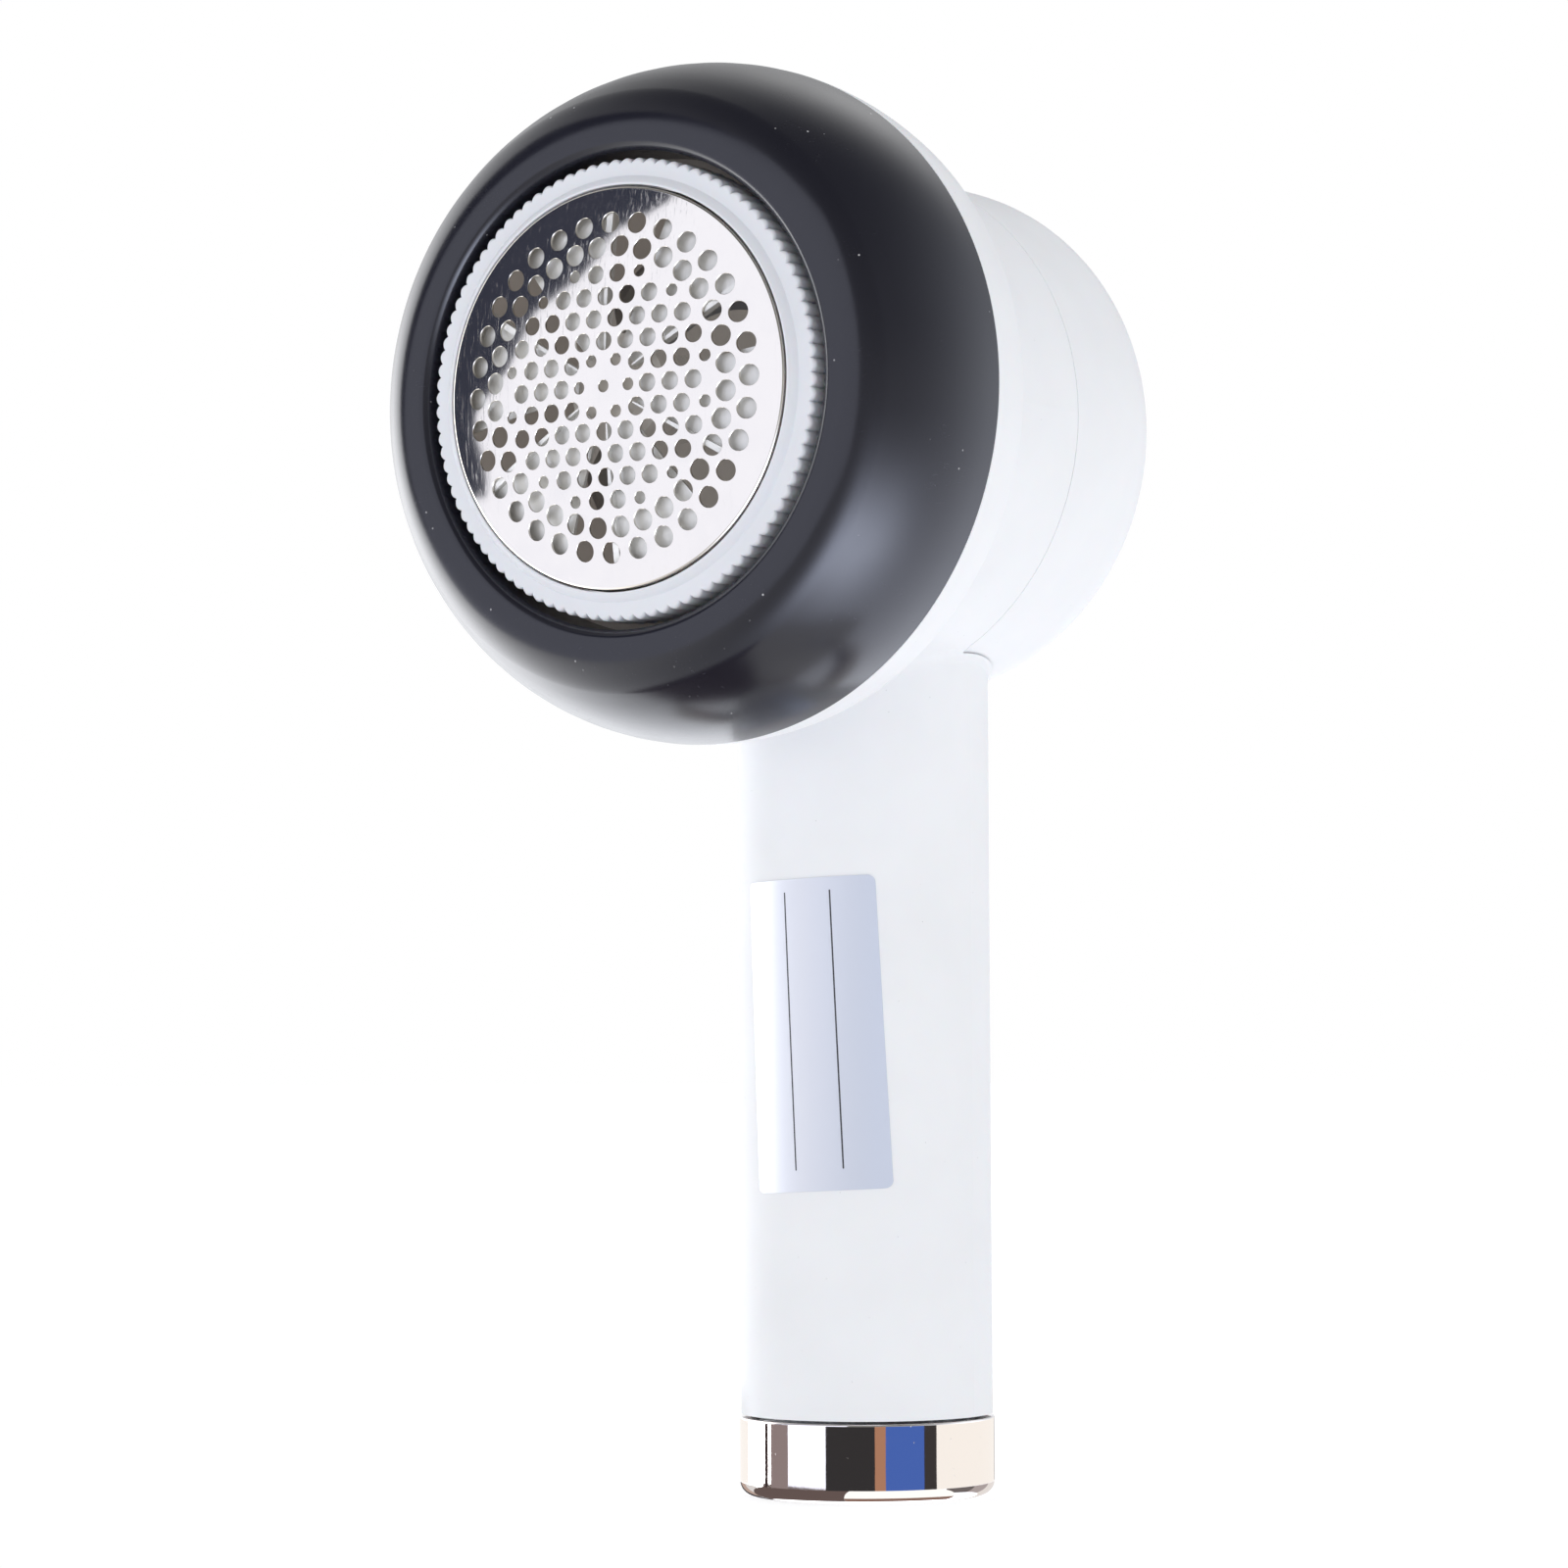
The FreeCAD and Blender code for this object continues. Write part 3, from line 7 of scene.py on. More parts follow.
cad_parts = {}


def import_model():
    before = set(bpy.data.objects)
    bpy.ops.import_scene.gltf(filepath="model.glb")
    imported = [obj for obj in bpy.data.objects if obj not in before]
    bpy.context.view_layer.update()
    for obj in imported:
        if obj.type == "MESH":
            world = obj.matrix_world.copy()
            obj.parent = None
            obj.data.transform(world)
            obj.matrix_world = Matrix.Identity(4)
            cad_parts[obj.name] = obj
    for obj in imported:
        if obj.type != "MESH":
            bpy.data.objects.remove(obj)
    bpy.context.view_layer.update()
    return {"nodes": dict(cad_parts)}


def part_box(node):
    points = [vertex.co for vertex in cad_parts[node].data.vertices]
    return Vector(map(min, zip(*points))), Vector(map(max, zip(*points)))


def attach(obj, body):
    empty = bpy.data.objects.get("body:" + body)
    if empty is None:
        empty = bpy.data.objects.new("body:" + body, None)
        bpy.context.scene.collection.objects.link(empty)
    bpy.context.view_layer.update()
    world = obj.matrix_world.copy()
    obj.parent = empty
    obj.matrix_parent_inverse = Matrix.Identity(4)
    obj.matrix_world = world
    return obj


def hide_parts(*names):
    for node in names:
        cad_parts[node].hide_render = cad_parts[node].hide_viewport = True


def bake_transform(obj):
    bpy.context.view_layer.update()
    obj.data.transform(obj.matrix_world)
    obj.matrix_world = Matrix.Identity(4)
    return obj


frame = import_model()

# The look of a cordless fabric shaver. Sizes are in millimetres, in the same frames as the design:
#   HEAD    on the head's axis, x right, y up, z forward
#   HANDLE  the object's own frame, +Z up the handle
#   BACK    on the handle's axis at the power button, x right, y down, z backward

MM = 0.001


def low(node, axis):
    """A node's lowest coordinate along an axis, in millimetres."""
    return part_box(node)[0][axis] / MM


def high(node, axis):
    """A node's highest coordinate along an axis, in millimetres."""
    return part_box(node)[1][axis] / MM


X, Y, Z = 0, 1, 2

# Sizes that the frame gives
AXIS_HEIGHT = (low("front_ring", Z) + high("front_ring", Z)) / 2
BUTTON_HEIGHT = (low("power_button", Z) + high("power_button", Z)) / 2
LENS_HEIGHT = (low("status_lens", Z) + high("status_lens", Z)) / 2
RING_RADIUS = high("front_ring", X)
RING_REAR = -high("front_ring", Y)
RING_FRONT = -low("front_ring", Y)
COLLAR_REAR = -high("collar", Y)
DRUM_RADIUS = high("lint_bin", X)
BIN_BACK = high("lint_bin", Y)
SPIGOT_FRONT = -low("lint_bin", Y)
NUT_REAR = -high("knurled_ring", Y)
NUT_CREST = -low("knurled_ring", Y)
FOIL_TOP = -low("foil_guard", Y)
FOIL_FLANGE = high("foil_guard", X)
FOOT_RADIUS = high("end_cap", X)
FOOT_HEIGHT = high("end_cap", Z)
HANDLE_RADIUS = FOOT_RADIUS - 0.2
BUTTON_BACK = high("power_button", Y)
BEZEL_BACK = low("button_bezel", Y)
BEZEL_FRONT = high("button_bezel", Y)
BEZEL_RADIUS = high("button_bezel", X)
LENS_FRONT = high("status_lens", Y)

# Sizes of the design's details
RING_CREST = 35.4
RING_NOSE = 7.0
RING_WALL = 1.8
LIP_RADIUS = 32.4
WELL_FLOOR = 51.0
FOIL_EDGE = 27.2
FOIL_RISE = 2.65
FOIL_THICK = 0.3
FOIL_SKIRT = 60.0
DOME_RADIUS = (FOIL_EDGE ** 2 + FOIL_RISE ** 2) / (2 * FOIL_RISE)

HEAD = Matrix.Translation((0, 0, AXIS_HEIGHT)) @ Matrix.Rotation(math.radians(90), 4, "X")
HANDLE = Matrix.Identity(4)
BACK = Matrix.Translation((0, 0, BUTTON_HEIGHT)) @ Matrix.Rotation(math.radians(-90), 4, "X")
LENS_SEAT = Matrix.Translation((0, 0, LENS_HEIGHT)) @ Matrix.Rotation(math.radians(-90), 4, "X")

TURN = 2 * math.pi
HEAD_SEGMENTS = 360
SHARP = math.radians(32)
ARC_STEP = math.radians(5)
ON_AXIS = 1e-6


# ---------------------------------------------------------------- outlines

def polar(radius, angle):
    """The point (x, y) at a radius and an angle."""
    return radius * math.cos(angle), radius * math.sin(angle)


def rotate(x, y, angle):
    """The point (x, y) turned about the origin."""
    return x * math.cos(angle) - y * math.sin(angle), x * math.sin(angle) + y * math.cos(angle)


def arc(start, end, radius, step=ARC_STEP):
    """Points after start up to end, anticlockwise where the radius is positive."""
    chord = end - start
    half = chord.length / 2
    across = Vector((-chord.y, chord.x)).normalized()
    side = 1 if radius > 0 else -1
    centre = start + chord / 2 + across * side * math.sqrt(radius * radius - half * half)
    first = start - centre
    sweep = 2 * math.asin(half / abs(radius)) * side
    count = max(2, math.ceil(abs(sweep) / step))
    points = []
    for index in range(1, count + 1):
        points.append(centre + Vector(rotate(first.x, first.y, sweep * index / count)))
    return points


def trace(corners):
    """A closed outline from corners (r, z), or (r, z, radius) where an arc leads to the corner."""
    points = []
    for index, corner in enumerate(corners):
        here = Vector(corner[:2])
        if len(corner) == 2:
            points.append(here)
        else:
            before = Vector(corners[index - 1][:2])
            points.extend(arc(before, here, corner[2]))
    return points


def soften(points, radius, steps=4):
    """Round each sharp corner of a closed outline, except on the axis."""
    share = 0.45
    rounded = []
    for index, here in enumerate(points):
        before = points[index - 1] - here
        after = points[(index + 1) % len(points)] - here
        bend = math.pi - before.angle(after)
        if bend < SHARP or here.x < ON_AXIS:
            rounded.append(here)
            continue
        slope = math.tan(bend / 2)
        reach = min(radius * slope, before.length * share, after.length * share)
        start = here + before.normalized() * reach
        end = here + after.normalized() * reach
        turns_left = before.x * after.y - before.y * after.x < 0
        size = reach / slope
        rounded.append(start)
        rounded.extend(arc(start, end, size if turns_left else -size, bend / steps))
    return rounded


def oval(edge, start, wide, deep, nose, way=1, wall=0.0):
    """A two-arc corner: its begin, middle and end points and its long and short radii."""
    long_arc = (wide ** 2 + deep ** 2 - 2 * deep * nose) / (2 * (wide - nose))
    across = (long_arc - wide) / (long_arc - nose)
    along = (deep - nose) / (long_arc - nose)
    inset = long_arc - wall
    begin = (edge - wall, start)
    middle = (edge - long_arc + inset * across, start + way * inset * along)
    end = (edge - wide, start + way * (deep - wall))
    return begin, middle, end, inset, nose - wall


# ---------------------------------------------------------------- meshes

def make_mesh(name, vertices, faces, place):
    """A smooth-shaded mesh in metres, sharp only where it really turns."""
    mesh = bpy.data.meshes.new(name)
    scaled = Matrix.Scale(MM, 4) @ place
    mesh.from_pydata([scaled @ Vector(vertex) for vertex in vertices], [], faces)
    mesh.validate()
    mesh.polygons.foreach_set("use_smooth", [True] * len(mesh.polygons))
    mesh.set_sharp_from_angle(angle=SHARP)
    mesh.update()
    return mesh


def quads(rows, closed=True, flip=False):
    """Faces between neighbouring rows of vertex numbers, without doubled corners; flip turns them over."""
    faces = []
    for row, following in zip(rows, rows[1:]):
        for index in range(len(row) if closed else len(row) - 1):
            after = (index + 1) % len(row)
            sides = (row[after], following[index]) if not flip else (following[index], row[after])
            face = list(dict.fromkeys((row[index], sides[0], following[after], sides[1])))
            if len(face) > 2:
                faces.append(face)
    return faces


def grid(rows, columns):
    """Rows of vertex numbers."""
    return [list(range(row * columns, (row + 1) * columns)) for row in range(rows)]


def revolve(name, outline, place, segments, shape=None):
    """A solid of revolution of a closed outline, whose radius a function may reshape."""
    vertices = []
    rows = []
    for point in outline:
        if point.x < ON_AXIS:
            rows.append([len(vertices)] * segments)
            vertices.append((0.0, 0.0, point.y))
            continue
        row = []
        for index in range(segments):
            angle = TURN * index / segments
            radius = shape(point.x, angle) if shape else point.x
            row.append(len(vertices))
            vertices.append((*polar(radius, angle), point.y))
        rows.append(row)
    return make_mesh(name, vertices, quads(rows + rows[:1]), place)


def show(name, data):
    """An object of some data, such as a mesh, in the scene."""
    thing = bpy.data.objects.new(name, data)
    bpy.context.scene.collection.objects.link(thing)
    return thing


def piece(name, mesh, body, slot, *nodes, finish=None):
    """Put a mesh in the scene in its slot's finish or another, riding on a body in place of CAD nodes."""
    thing = show(name, mesh)
    mesh.materials.append(finish or FINISHES[slot])
    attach(thing, body)
    if nodes:
        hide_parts(*nodes)
    return thing


def even_normals(thing):
    """Let the large faces decide the shading beside narrow rounded edges."""
    weighted = thing.modifiers.new("even_normals", "WEIGHTED_NORMAL")
    weighted.keep_sharp = True
    weighted.weight = 100
    return thing


def turned(name, outline, rounding, place, segments, body, slot, node, shape=None):
    """A solid of revolution with rounded corners, in place of a CAD node."""
    mesh = revolve(name, soften(outline, rounding), place, segments, shape)
    even_normals(piece(name, mesh, body, slot, node))


# ---------------------------------------------------------------- materials

def add_node(tree, kind, inputs=None, **settings):
    """A new shader node, its settings, and its inputs as values or as other nodes' outputs."""
    node = tree.nodes.new("ShaderNode" + kind)
    for key, value in settings.items():
        setattr(node, key, value)
    for key, value in (inputs or {}).items():
        if isinstance(value, bpy.types.NodeSocket):
            tree.links.new(value, node.inputs[key])
        else:
            node.inputs[key].default_value = value
    return node


class Finish:
    """A procedural material: a Principled surface and the nodes that vary it."""

    def __init__(self, name, colour, roughness, metallic=0.0):
        self.material = bpy.data.materials.new(name)
        self.material.use_nodes = True
        self.tree = self.material.node_tree
        self.surface = self.tree.nodes["Principled BSDF"]
        self.set(Base_Color=(*colour, 1), Roughness=roughness, Metallic=metallic)
        self.places = self.node("TexCoord").outputs["Object"]

    def node(self, kind, inputs=None, **settings):
        """A new node of the material."""
        return add_node(self.tree, kind, inputs, **settings)

    def set(self, **values):
        """Set inputs of the surface by name, with _ for a space."""
        for name, number in values.items():
            self.surface.inputs[name.replace("_", " ")].default_value = number
        return self

    def noise(self, size, detail, stretch=(1, 1, 1), distortion=0.0):
        """A noise whose lumps are about a size in millimetres."""
        mapping = self.node("Mapping", {"Vector": self.places, "Scale": stretch})
        noise = self.node("TexNoise", {"Vector": mapping.outputs["Vector"], "Scale": 1 / (size * MM),
                                       "Detail": detail, "Distortion": distortion})
        return noise.outputs["Fac"]

    def specks(self, size, share):
        """A mask of small specks, covering a share of the cells they lie in."""
        cells = self.node("TexVoronoi", {"Vector": self.places, "Scale": 1 / (size * MM)})
        return self.range(cells.outputs["Distance"], share * 0.6, share, 1, 0)

    def range(self, value, from_min, from_max, to_min, to_max):
        """A value mapped from one range to another and clamped."""
        remap = self.node("MapRange", {"Value": value, "From Min": from_min, "From Max": from_max,
                                       "To Min": to_min, "To Max": to_max})
        return remap.outputs["Result"]

    def cloud(self, size, detail, low_end, high_end, share, stretch=(1, 1, 1)):
        """A mask of soft patches: none where a noise is under its low end, a share above its high end."""
        return self.range(self.noise(size, detail, stretch), low_end, high_end, 0, share)

    def times(self, first, second):
        """The product of two masks."""
        return self.node("Math", {0: first, 1: second}, operation="MULTIPLY").outputs[0]

    def mix_in(self, name, mask, value, kind, base_input, result):
        """Mix another value into an input of the surface where a mask says."""
        target = self.surface.inputs[name]
        base = target.links[0].from_socket if target.links else target.default_value
        mix = self.node("Mix", {0: mask, base_input: base, base_input + 1: value}, data_type=kind)
        self.tree.links.new(mix.outputs[result], target)
        return self

    def tint(self, mask, colour):
        """Mix another colour over the base where a mask says."""
        return self.mix_in("Base Color", mask, (*colour, 1), "RGBA", 6, 2)

    def roughen(self, mask, roughness):
        """Mix another roughness in where a mask says."""
        return self.mix_in("Roughness", mask, roughness, "FLOAT", 2, 0)

    def bump(self, height, depth):
        """Add relief of a depth in millimetres."""
        target = self.surface.inputs["Normal"]
        inputs = {"Height": height, "Distance": depth * MM}
        if target.links:
            inputs["Normal"] = target.links[0].from_socket
        self.tree.links.new(self.node("Bump", inputs).outputs["Normal"], target)
        return self


def moulded(name, colour, roughness, texture=0.004):
    """Moulded plastic: faint flow mottling, uneven gloss and a fine surface texture."""
    finish = Finish(name, colour, roughness)
    darker = tuple(channel * 0.94 for channel in colour)
    finish.tint(finish.cloud(14, 3, 0.35, 0.7, 0.5), darker)
    finish.roughen(finish.cloud(6, 4, 0.4, 0.7, 0.6), min(1.0, roughness * 1.25))
    finish.bump(finish.noise(0.35, 2), texture)
    return finish


def white_shell():
    """Glossy white plastic with a cool cast."""
    finish = moulded("white_shell", (0.86, 0.875, 0.912), 0.30, 0.0015)
    finish.set(Subsurface_Weight=0.08, Subsurface_Scale=0.6 * MM, Specular_IOR_Level=0.03)
    finish.tint(finish.specks(2.6, 0.03), (0.55, 0.56, 0.6))
    return finish.material


def black_ring():
    """Satin black plastic with dust and hairline scuffs."""
    finish = moulded("black_ring", (0.0095, 0.0095, 0.017), 0.2, 0.002)
    finish.set(Specular_IOR_Level=0.5)
    dust = finish.times(finish.specks(2.4, 0.07), finish.cloud(9, 2, 0.56, 0.64, 1))
    finish.tint(dust, (0.55, 0.55, 0.57))
    scuffs = finish.noise(0.5, 6, (1, 0.06, 1.4), 1.2)
    worn = finish.times(finish.range(scuffs, 0.66, 0.74, 0, 1), finish.cloud(9, 2, 0.55, 0.68, 0.8))
    finish.roughen(worn, 0.6)
    finish.tint(finish.range(worn, 0, 1, 0, 0.25), (0.12, 0.12, 0.14))
    return finish.material


def frosted_ring():
    """Frosted white plastic with a cold, slightly see-through body."""
    finish = moulded("frosted_ring", (0.74, 0.76, 0.82), 0.40, 0.003)
    finish.set(Subsurface_Weight=0.12, Subsurface_Scale=0.5 * MM, Specular_IOR_Level=0.2)
    return finish.material


def polished_foil():
    """Polished stamped steel: a slightly wavy mirror with fine scratches."""
    finish = Finish("polished_foil", (0.76, 0.72, 0.65), 0.07, 1.0)
    finish.bump(finish.noise(9, 1), 0.035)
    scratches = finish.noise(0.25, 6, (1, 1, 0.05), 0.6)
    finish.roughen(finish.range(scratches, 0.55, 0.75, 0, 1), 0.24)
    finish.tint(finish.cloud(5, 3, 0.45, 0.75, 0.35), (0.68, 0.65, 0.60))
    finish.bump(scratches, 0.0008)
    return finish.material


def steel(name, colour, roughness):
    """Bare metal with grinding lines and slight tarnish."""
    finish = Finish(name, colour, roughness, 1.0)
    lines = finish.noise(0.3, 5, (1, 0.08, 1), 0.3)
    finish.roughen(finish.range(lines, 0.4, 0.7, 0, 1), min(1.0, roughness * 1.7))
    finish.tint(finish.cloud(4, 3, 0.45, 0.75, 0.5), tuple(channel * 0.8 for channel in colour))
    finish.bump(lines, 0.001)
    return finish.material


def blade_steel():
    """Pale satin steel of the blades."""
    finish = Finish("blade_steel", (0.78, 0.775, 0.755), 0.42, 0.55)
    lines = finish.noise(0.4, 5, (1, 1, 0.1), 0.3)
    finish.roughen(finish.range(lines, 0.4, 0.7, 0, 1), 0.6)
    finish.tint(finish.cloud(3, 3, 0.45, 0.75, 0.5), (0.60, 0.595, 0.575))
    finish.bump(lines, 0.001)
    return finish.material


def rose_chrome():
    """Warm bright plating with pinholes and faint wipe marks."""
    finish = Finish("rose_chrome", (0.955, 0.915, 0.88), 0.035, 1.0)
    finish.bump(finish.noise(2.4, 2, (1, 1, 0.35)), 0.004)
    pits = finish.times(finish.specks(1.3, 0.07), finish.cloud(4, 2, 0.55, 0.62, 1))
    finish.roughen(pits, 0.5)
    finish.bump(pits, 0.03)
    finish.roughen(finish.cloud(3, 5, 0.55, 0.8, 0.5, (1, 1, 3)), 0.16)
    return finish.material


def silver_label():
    """Satin silver film, with a painted lilac sheen tinted into its colour towards one side."""
    finish = Finish("silver_label", (0.68, 0.70, 0.77), 0.42, 0.25)
    across = finish.node("SeparateXYZ", {0: finish.places}).outputs["X"]
    # painted sheen: the colour turns lilac across +X, from 1 to 11 mm, standing in for a reflection
    finish.tint(finish.range(across, 1 * MM, 11 * MM, 0, 0.9), (0.62, 0.67, 0.80))
    finish.roughen(finish.cloud(0.25, 3, 0.4, 0.7, 0.7), 0.46)
    finish.bump(finish.noise(0.2, 2), 0.001)
    return finish.material


def printed_ink():
    """Matt dark print."""
    finish = Finish("printed_ink", (0.035, 0.035, 0.045), 0.6)
    finish.tint(finish.cloud(0.6, 3, 0.4, 0.7, 0.6), (0.10, 0.10, 0.12))
    return finish.material


def seal_rubber():
    """Dark rubber with a dry bloom."""
    finish = moulded("seal_rubber", (0.05, 0.05, 0.055), 0.7, 0.004)
    finish.tint(finish.cloud(1.5, 4, 0.55, 0.8, 0.5), (0.12, 0.12, 0.12))
    return finish.material


def circuit_board():
    """Green solder mask over a faint weave."""
    finish = Finish("circuit_board", (0.012, 0.11, 0.045), 0.35)
    finish.tint(finish.cloud(0.8, 3, 0.55, 0.6, 0.8, (1, 1, 8)), (0.02, 0.16, 0.07))
    finish.bump(finish.noise(0.4, 2), 0.003)
    return finish.material


def clear_lens():
    """Milky clear plastic."""
    finish = moulded("clear_lens", (0.82, 0.86, 0.9), 0.18, 0.001)
    finish.set(Transmission_Weight=0.5, IOR=1.49)
    return finish.material


def cell_wrap():
    """Shrink-wrapped film of the cell."""
    finish = Finish("cell_wrap", (0.03, 0.14, 0.42), 0.3)
    finish.tint(finish.cloud(6, 2, 0.4, 0.7, 0.5), (0.05, 0.18, 0.5))
    finish.bump(finish.noise(1.8, 3, (1, 1, 0.2)), 0.01)
    return finish.material


# Painted glow of the inner mouldings, which stands in for light that soaks through the white shell: its
# strength, and the radii between which it ends
PAINTED_GLOW = 0.10
PAINTED_GLOW_RADIUS = 28.2
PAINTED_GLOW_END = 28.8


def inner_moulding(name, colour):
    """Plastic inside the head, with a painted glow that stands in for the light that soaks through the
    white shell.
    """
    finish = moulded(name, colour, 0.5)
    # painted glow: the moulding emits its own colour inside a radius from the head's axis, fading out
    # beyond it
    finish.set(Emission_Color=(*colour, 1.0))
    off_axis = finish.node("VectorMath", {0: finish.places, 1: (1, 0, 1), 2: (0, 0, -AXIS_HEIGHT * MM)},
                           operation="MULTIPLY_ADD")
    radius = finish.node("VectorMath", {0: off_axis.outputs[0]}, operation="LENGTH")
    painted_glow = finish.range(radius.outputs["Value"], PAINTED_GLOW_RADIUS * MM, PAINTED_GLOW_END * MM, PAINTED_GLOW, 0)
    finish.tree.links.new(painted_glow, finish.surface.inputs["Emission Strength"])
    return finish.material


FINISHES = {
    "white_shell": white_shell(),
    "black_ring": black_ring(),
    "frosted_ring": frosted_ring(),
    "polished_foil": polished_foil(),
    "blade_steel": blade_steel(),
    # the grey mouldings carry the painted glow inside the head
    "grey_moulding": inner_moulding("grey_moulding", (0.64, 0.61, 0.58)),
    "dark_moulding": moulded("dark_moulding", (0.03, 0.03, 0.035), 0.5).material,
    "plated_steel": steel("plated_steel", (0.66, 0.66, 0.65), 0.3),
    "dark_steel": steel("dark_steel", (0.16, 0.16, 0.17), 0.45),
    "bearing_bronze": steel("bearing_bronze", (0.55, 0.38, 0.2), 0.4),
    "contact_metal": steel("contact_metal", (0.82, 0.68, 0.4), 0.3),
    "seal_rubber": seal_rubber(),
    "rose_chrome": rose_chrome(),
    "cast_plug": steel("cast_plug", (0.42, 0.42, 0.43), 0.5),
    "circuit_board": circuit_board(),
    "clear_lens": clear_lens(),
    "cell_wrap": cell_wrap(),
    "button_white": moulded("button_white", (0.74, 0.77, 0.83), 0.32, 0.002).material,
    "silver_label": silver_label(),
}


def dress_frame():
    """Give each CAD node the procedural finish of its own slot, and the seat its own browner copy of it,
    which carries the same painted glow.
    """
    # the seat's copy glows too: painted light seen in the gaps through the holes
    seat = inner_moulding("seat_moulding", (0.60, 0.55, 0.51))
    for node, thing in frame["nodes"].items():
        slot = thing.data.materials[0].name.split(".")[0]
        finish = seat if node == "guard_seat" else FINISHES[slot]
        for index in range(len(thing.data.materials)):
            thing.data.materials[index] = finish


# ---------------------------------------------------------------- head

def front_ring():
    """Black ring: a soft oval section with a plain bore round the cutter."""
    shape = (RING_RADIUS, RING_REAR, RING_RADIUS - RING_CREST, RING_FRONT - RING_REAR, RING_NOSE)
    begin, middle, end, long_arc, short_arc = oval(*shape)
    in_begin, in_middle, in_end, in_long, in_short = oval(*shape, wall=RING_WALL)
    lip_round = 1.5
    outline = trace([
        (*in_begin, -in_long),
        begin,
        (*middle, long_arc),
        (*end, short_arc),
        (LIP_RADIUS + lip_round, RING_FRONT),
        (LIP_RADIUS, RING_FRONT - lip_round, lip_round),
        (LIP_RADIUS, WELL_FLOOR),
        (LIP_RADIUS + RING_WALL, WELL_FLOOR),
        (LIP_RADIUS + RING_WALL, RING_FRONT - RING_WALL),
        in_end,
        (*in_middle, -in_short),
    ])
    turned("front_ring_shell", outline, 0.12, HEAD, HEAD_SEGMENTS, "housing", "black_ring", "front_ring")


def collar():
    """White collar with softened edges."""
    edge_round = 1.0
    side_slope = 1.1
    side_bow = 30.0
    side_radius = high("collar", X) - side_slope
    lip_radius = 44.3
    lip_inner = 42.7
    lip_front = -low("collar", Y)
    bore = 28.5
    plate = 1.9
    outline = trace([
        (bore, COLLAR_REAR),
        (side_radius - edge_round, COLLAR_REAR),
        (side_radius, COLLAR_REAR + edge_round, edge_round),
        (RING_RADIUS, RING_REAR, side_bow),
        (lip_radius, RING_REAR),
        (lip_radius, lip_front),
        (lip_inner, lip_front),
        (lip_inner, COLLAR_REAR + plate),
        (bore, COLLAR_REAR + plate),
    ])
    turned("collar_shell", outline, 0.18, HEAD, HEAD_SEGMENTS, "housing", "white_shell", "collar")


def lint_bin():
    """White cup behind the housing, with its spigot and seal groove."""
    seam = 2.1
    straight = 13.5
    wall = 2.0
    spigot = 34.9
    spigot_inner = 33.2
    groove = 34.3
    groove_front = 5.9
    groove_rear = 4.3
    root_front = -4.0
    root_rear = -6.0
    corner_width = 8.1
    corner_nose = 5.0
    shape = (DRUM_RADIUS, -straight, corner_width, BIN_BACK - straight, corner_nose, -1)
    begin, middle, end, long_arc, short_arc = oval(*shape)
    in_begin, in_middle, in_end, in_long, in_short = oval(*shape, wall=wall)
    outline = trace([
        (DRUM_RADIUS, seam),
        (spigot, seam),
        (spigot, groove_rear),
        (groove, groove_rear),
        (groove, groove_front),
        (spigot, groove_front),
        (spigot, SPIGOT_FRONT),
        (spigot_inner, SPIGOT_FRONT),
        (spigot_inner, root_front),
        (DRUM_RADIUS - wall, root_rear),
        in_begin,
        (*in_middle, -in_long),
        (*in_end, -in_short),
        (0, in_end[1]),
        (0, end[1]),
        end,
        (*middle, short_arc),
        (*begin, long_arc),
    ])
    turned("lint_bin_shell", outline, 0.15, HEAD, HEAD_SEGMENTS, "bin", "white_shell", "lint_bin")


KNURLS = 100
KNURL_TIP = high("knurled_ring", X)
KNURL_DEPTH = 0.62
KNURL_INNER = 29.9
KNURL_FULLNESS = 0.75
KNURL_SEGMENTS = 10


def knurled(radius, angle):
    """A radius with rounded knurls and narrow notches cut into it, deepest at the rim."""
    near = min(1.0, max(0.0, (radius - KNURL_INNER) / (KNURL_TIP - KNURL_INNER)))
    bump = abs(math.sin(KNURLS * angle / 2)) ** KNURL_FULLNESS
    return radius - KNURL_DEPTH * (1 - bump) * near


def knurled_ring():
    """Frosted ring with rounded knurls and a raised mouth."""
    mouth_rise = 1.15
    face_slope = 0.05
    front = NUT_CREST - mouth_rise
    bore = 29.05
    step = 28.8
    mouth = 27.5
    ledge = 60.15
    edge = 0.3
    tip = KNURL_TIP
    outline = trace([
        (bore, NUT_REAR),
        (tip - edge, NUT_REAR),
        (tip, NUT_REAR + edge, edge),
        (tip, front - 2 * edge),
        (tip - 2 * edge, front, 2 * edge),
        (KNURL_INNER, front + face_slope),
        (step, front + edge / 2),
        (step - edge, front + 2 * edge),
        (mouth + edge, NUT_CREST),
        (mouth, NUT_CREST),
        (mouth, ledge),
        (bore, ledge),
    ])
    turned("knurled_ring_body", outline, 0.1, HEAD, KNURLS * KNURL_SEGMENTS,
           "nut", "frosted_ring", "knurled_ring", knurled)


# ---------------------------------------------------------------- foil

def around(x, y, count):
    """A place repeated evenly about the axis."""
    places = []
    for index in range(count):
        places.append(rotate(x, y, TURN * index / count))
    return places


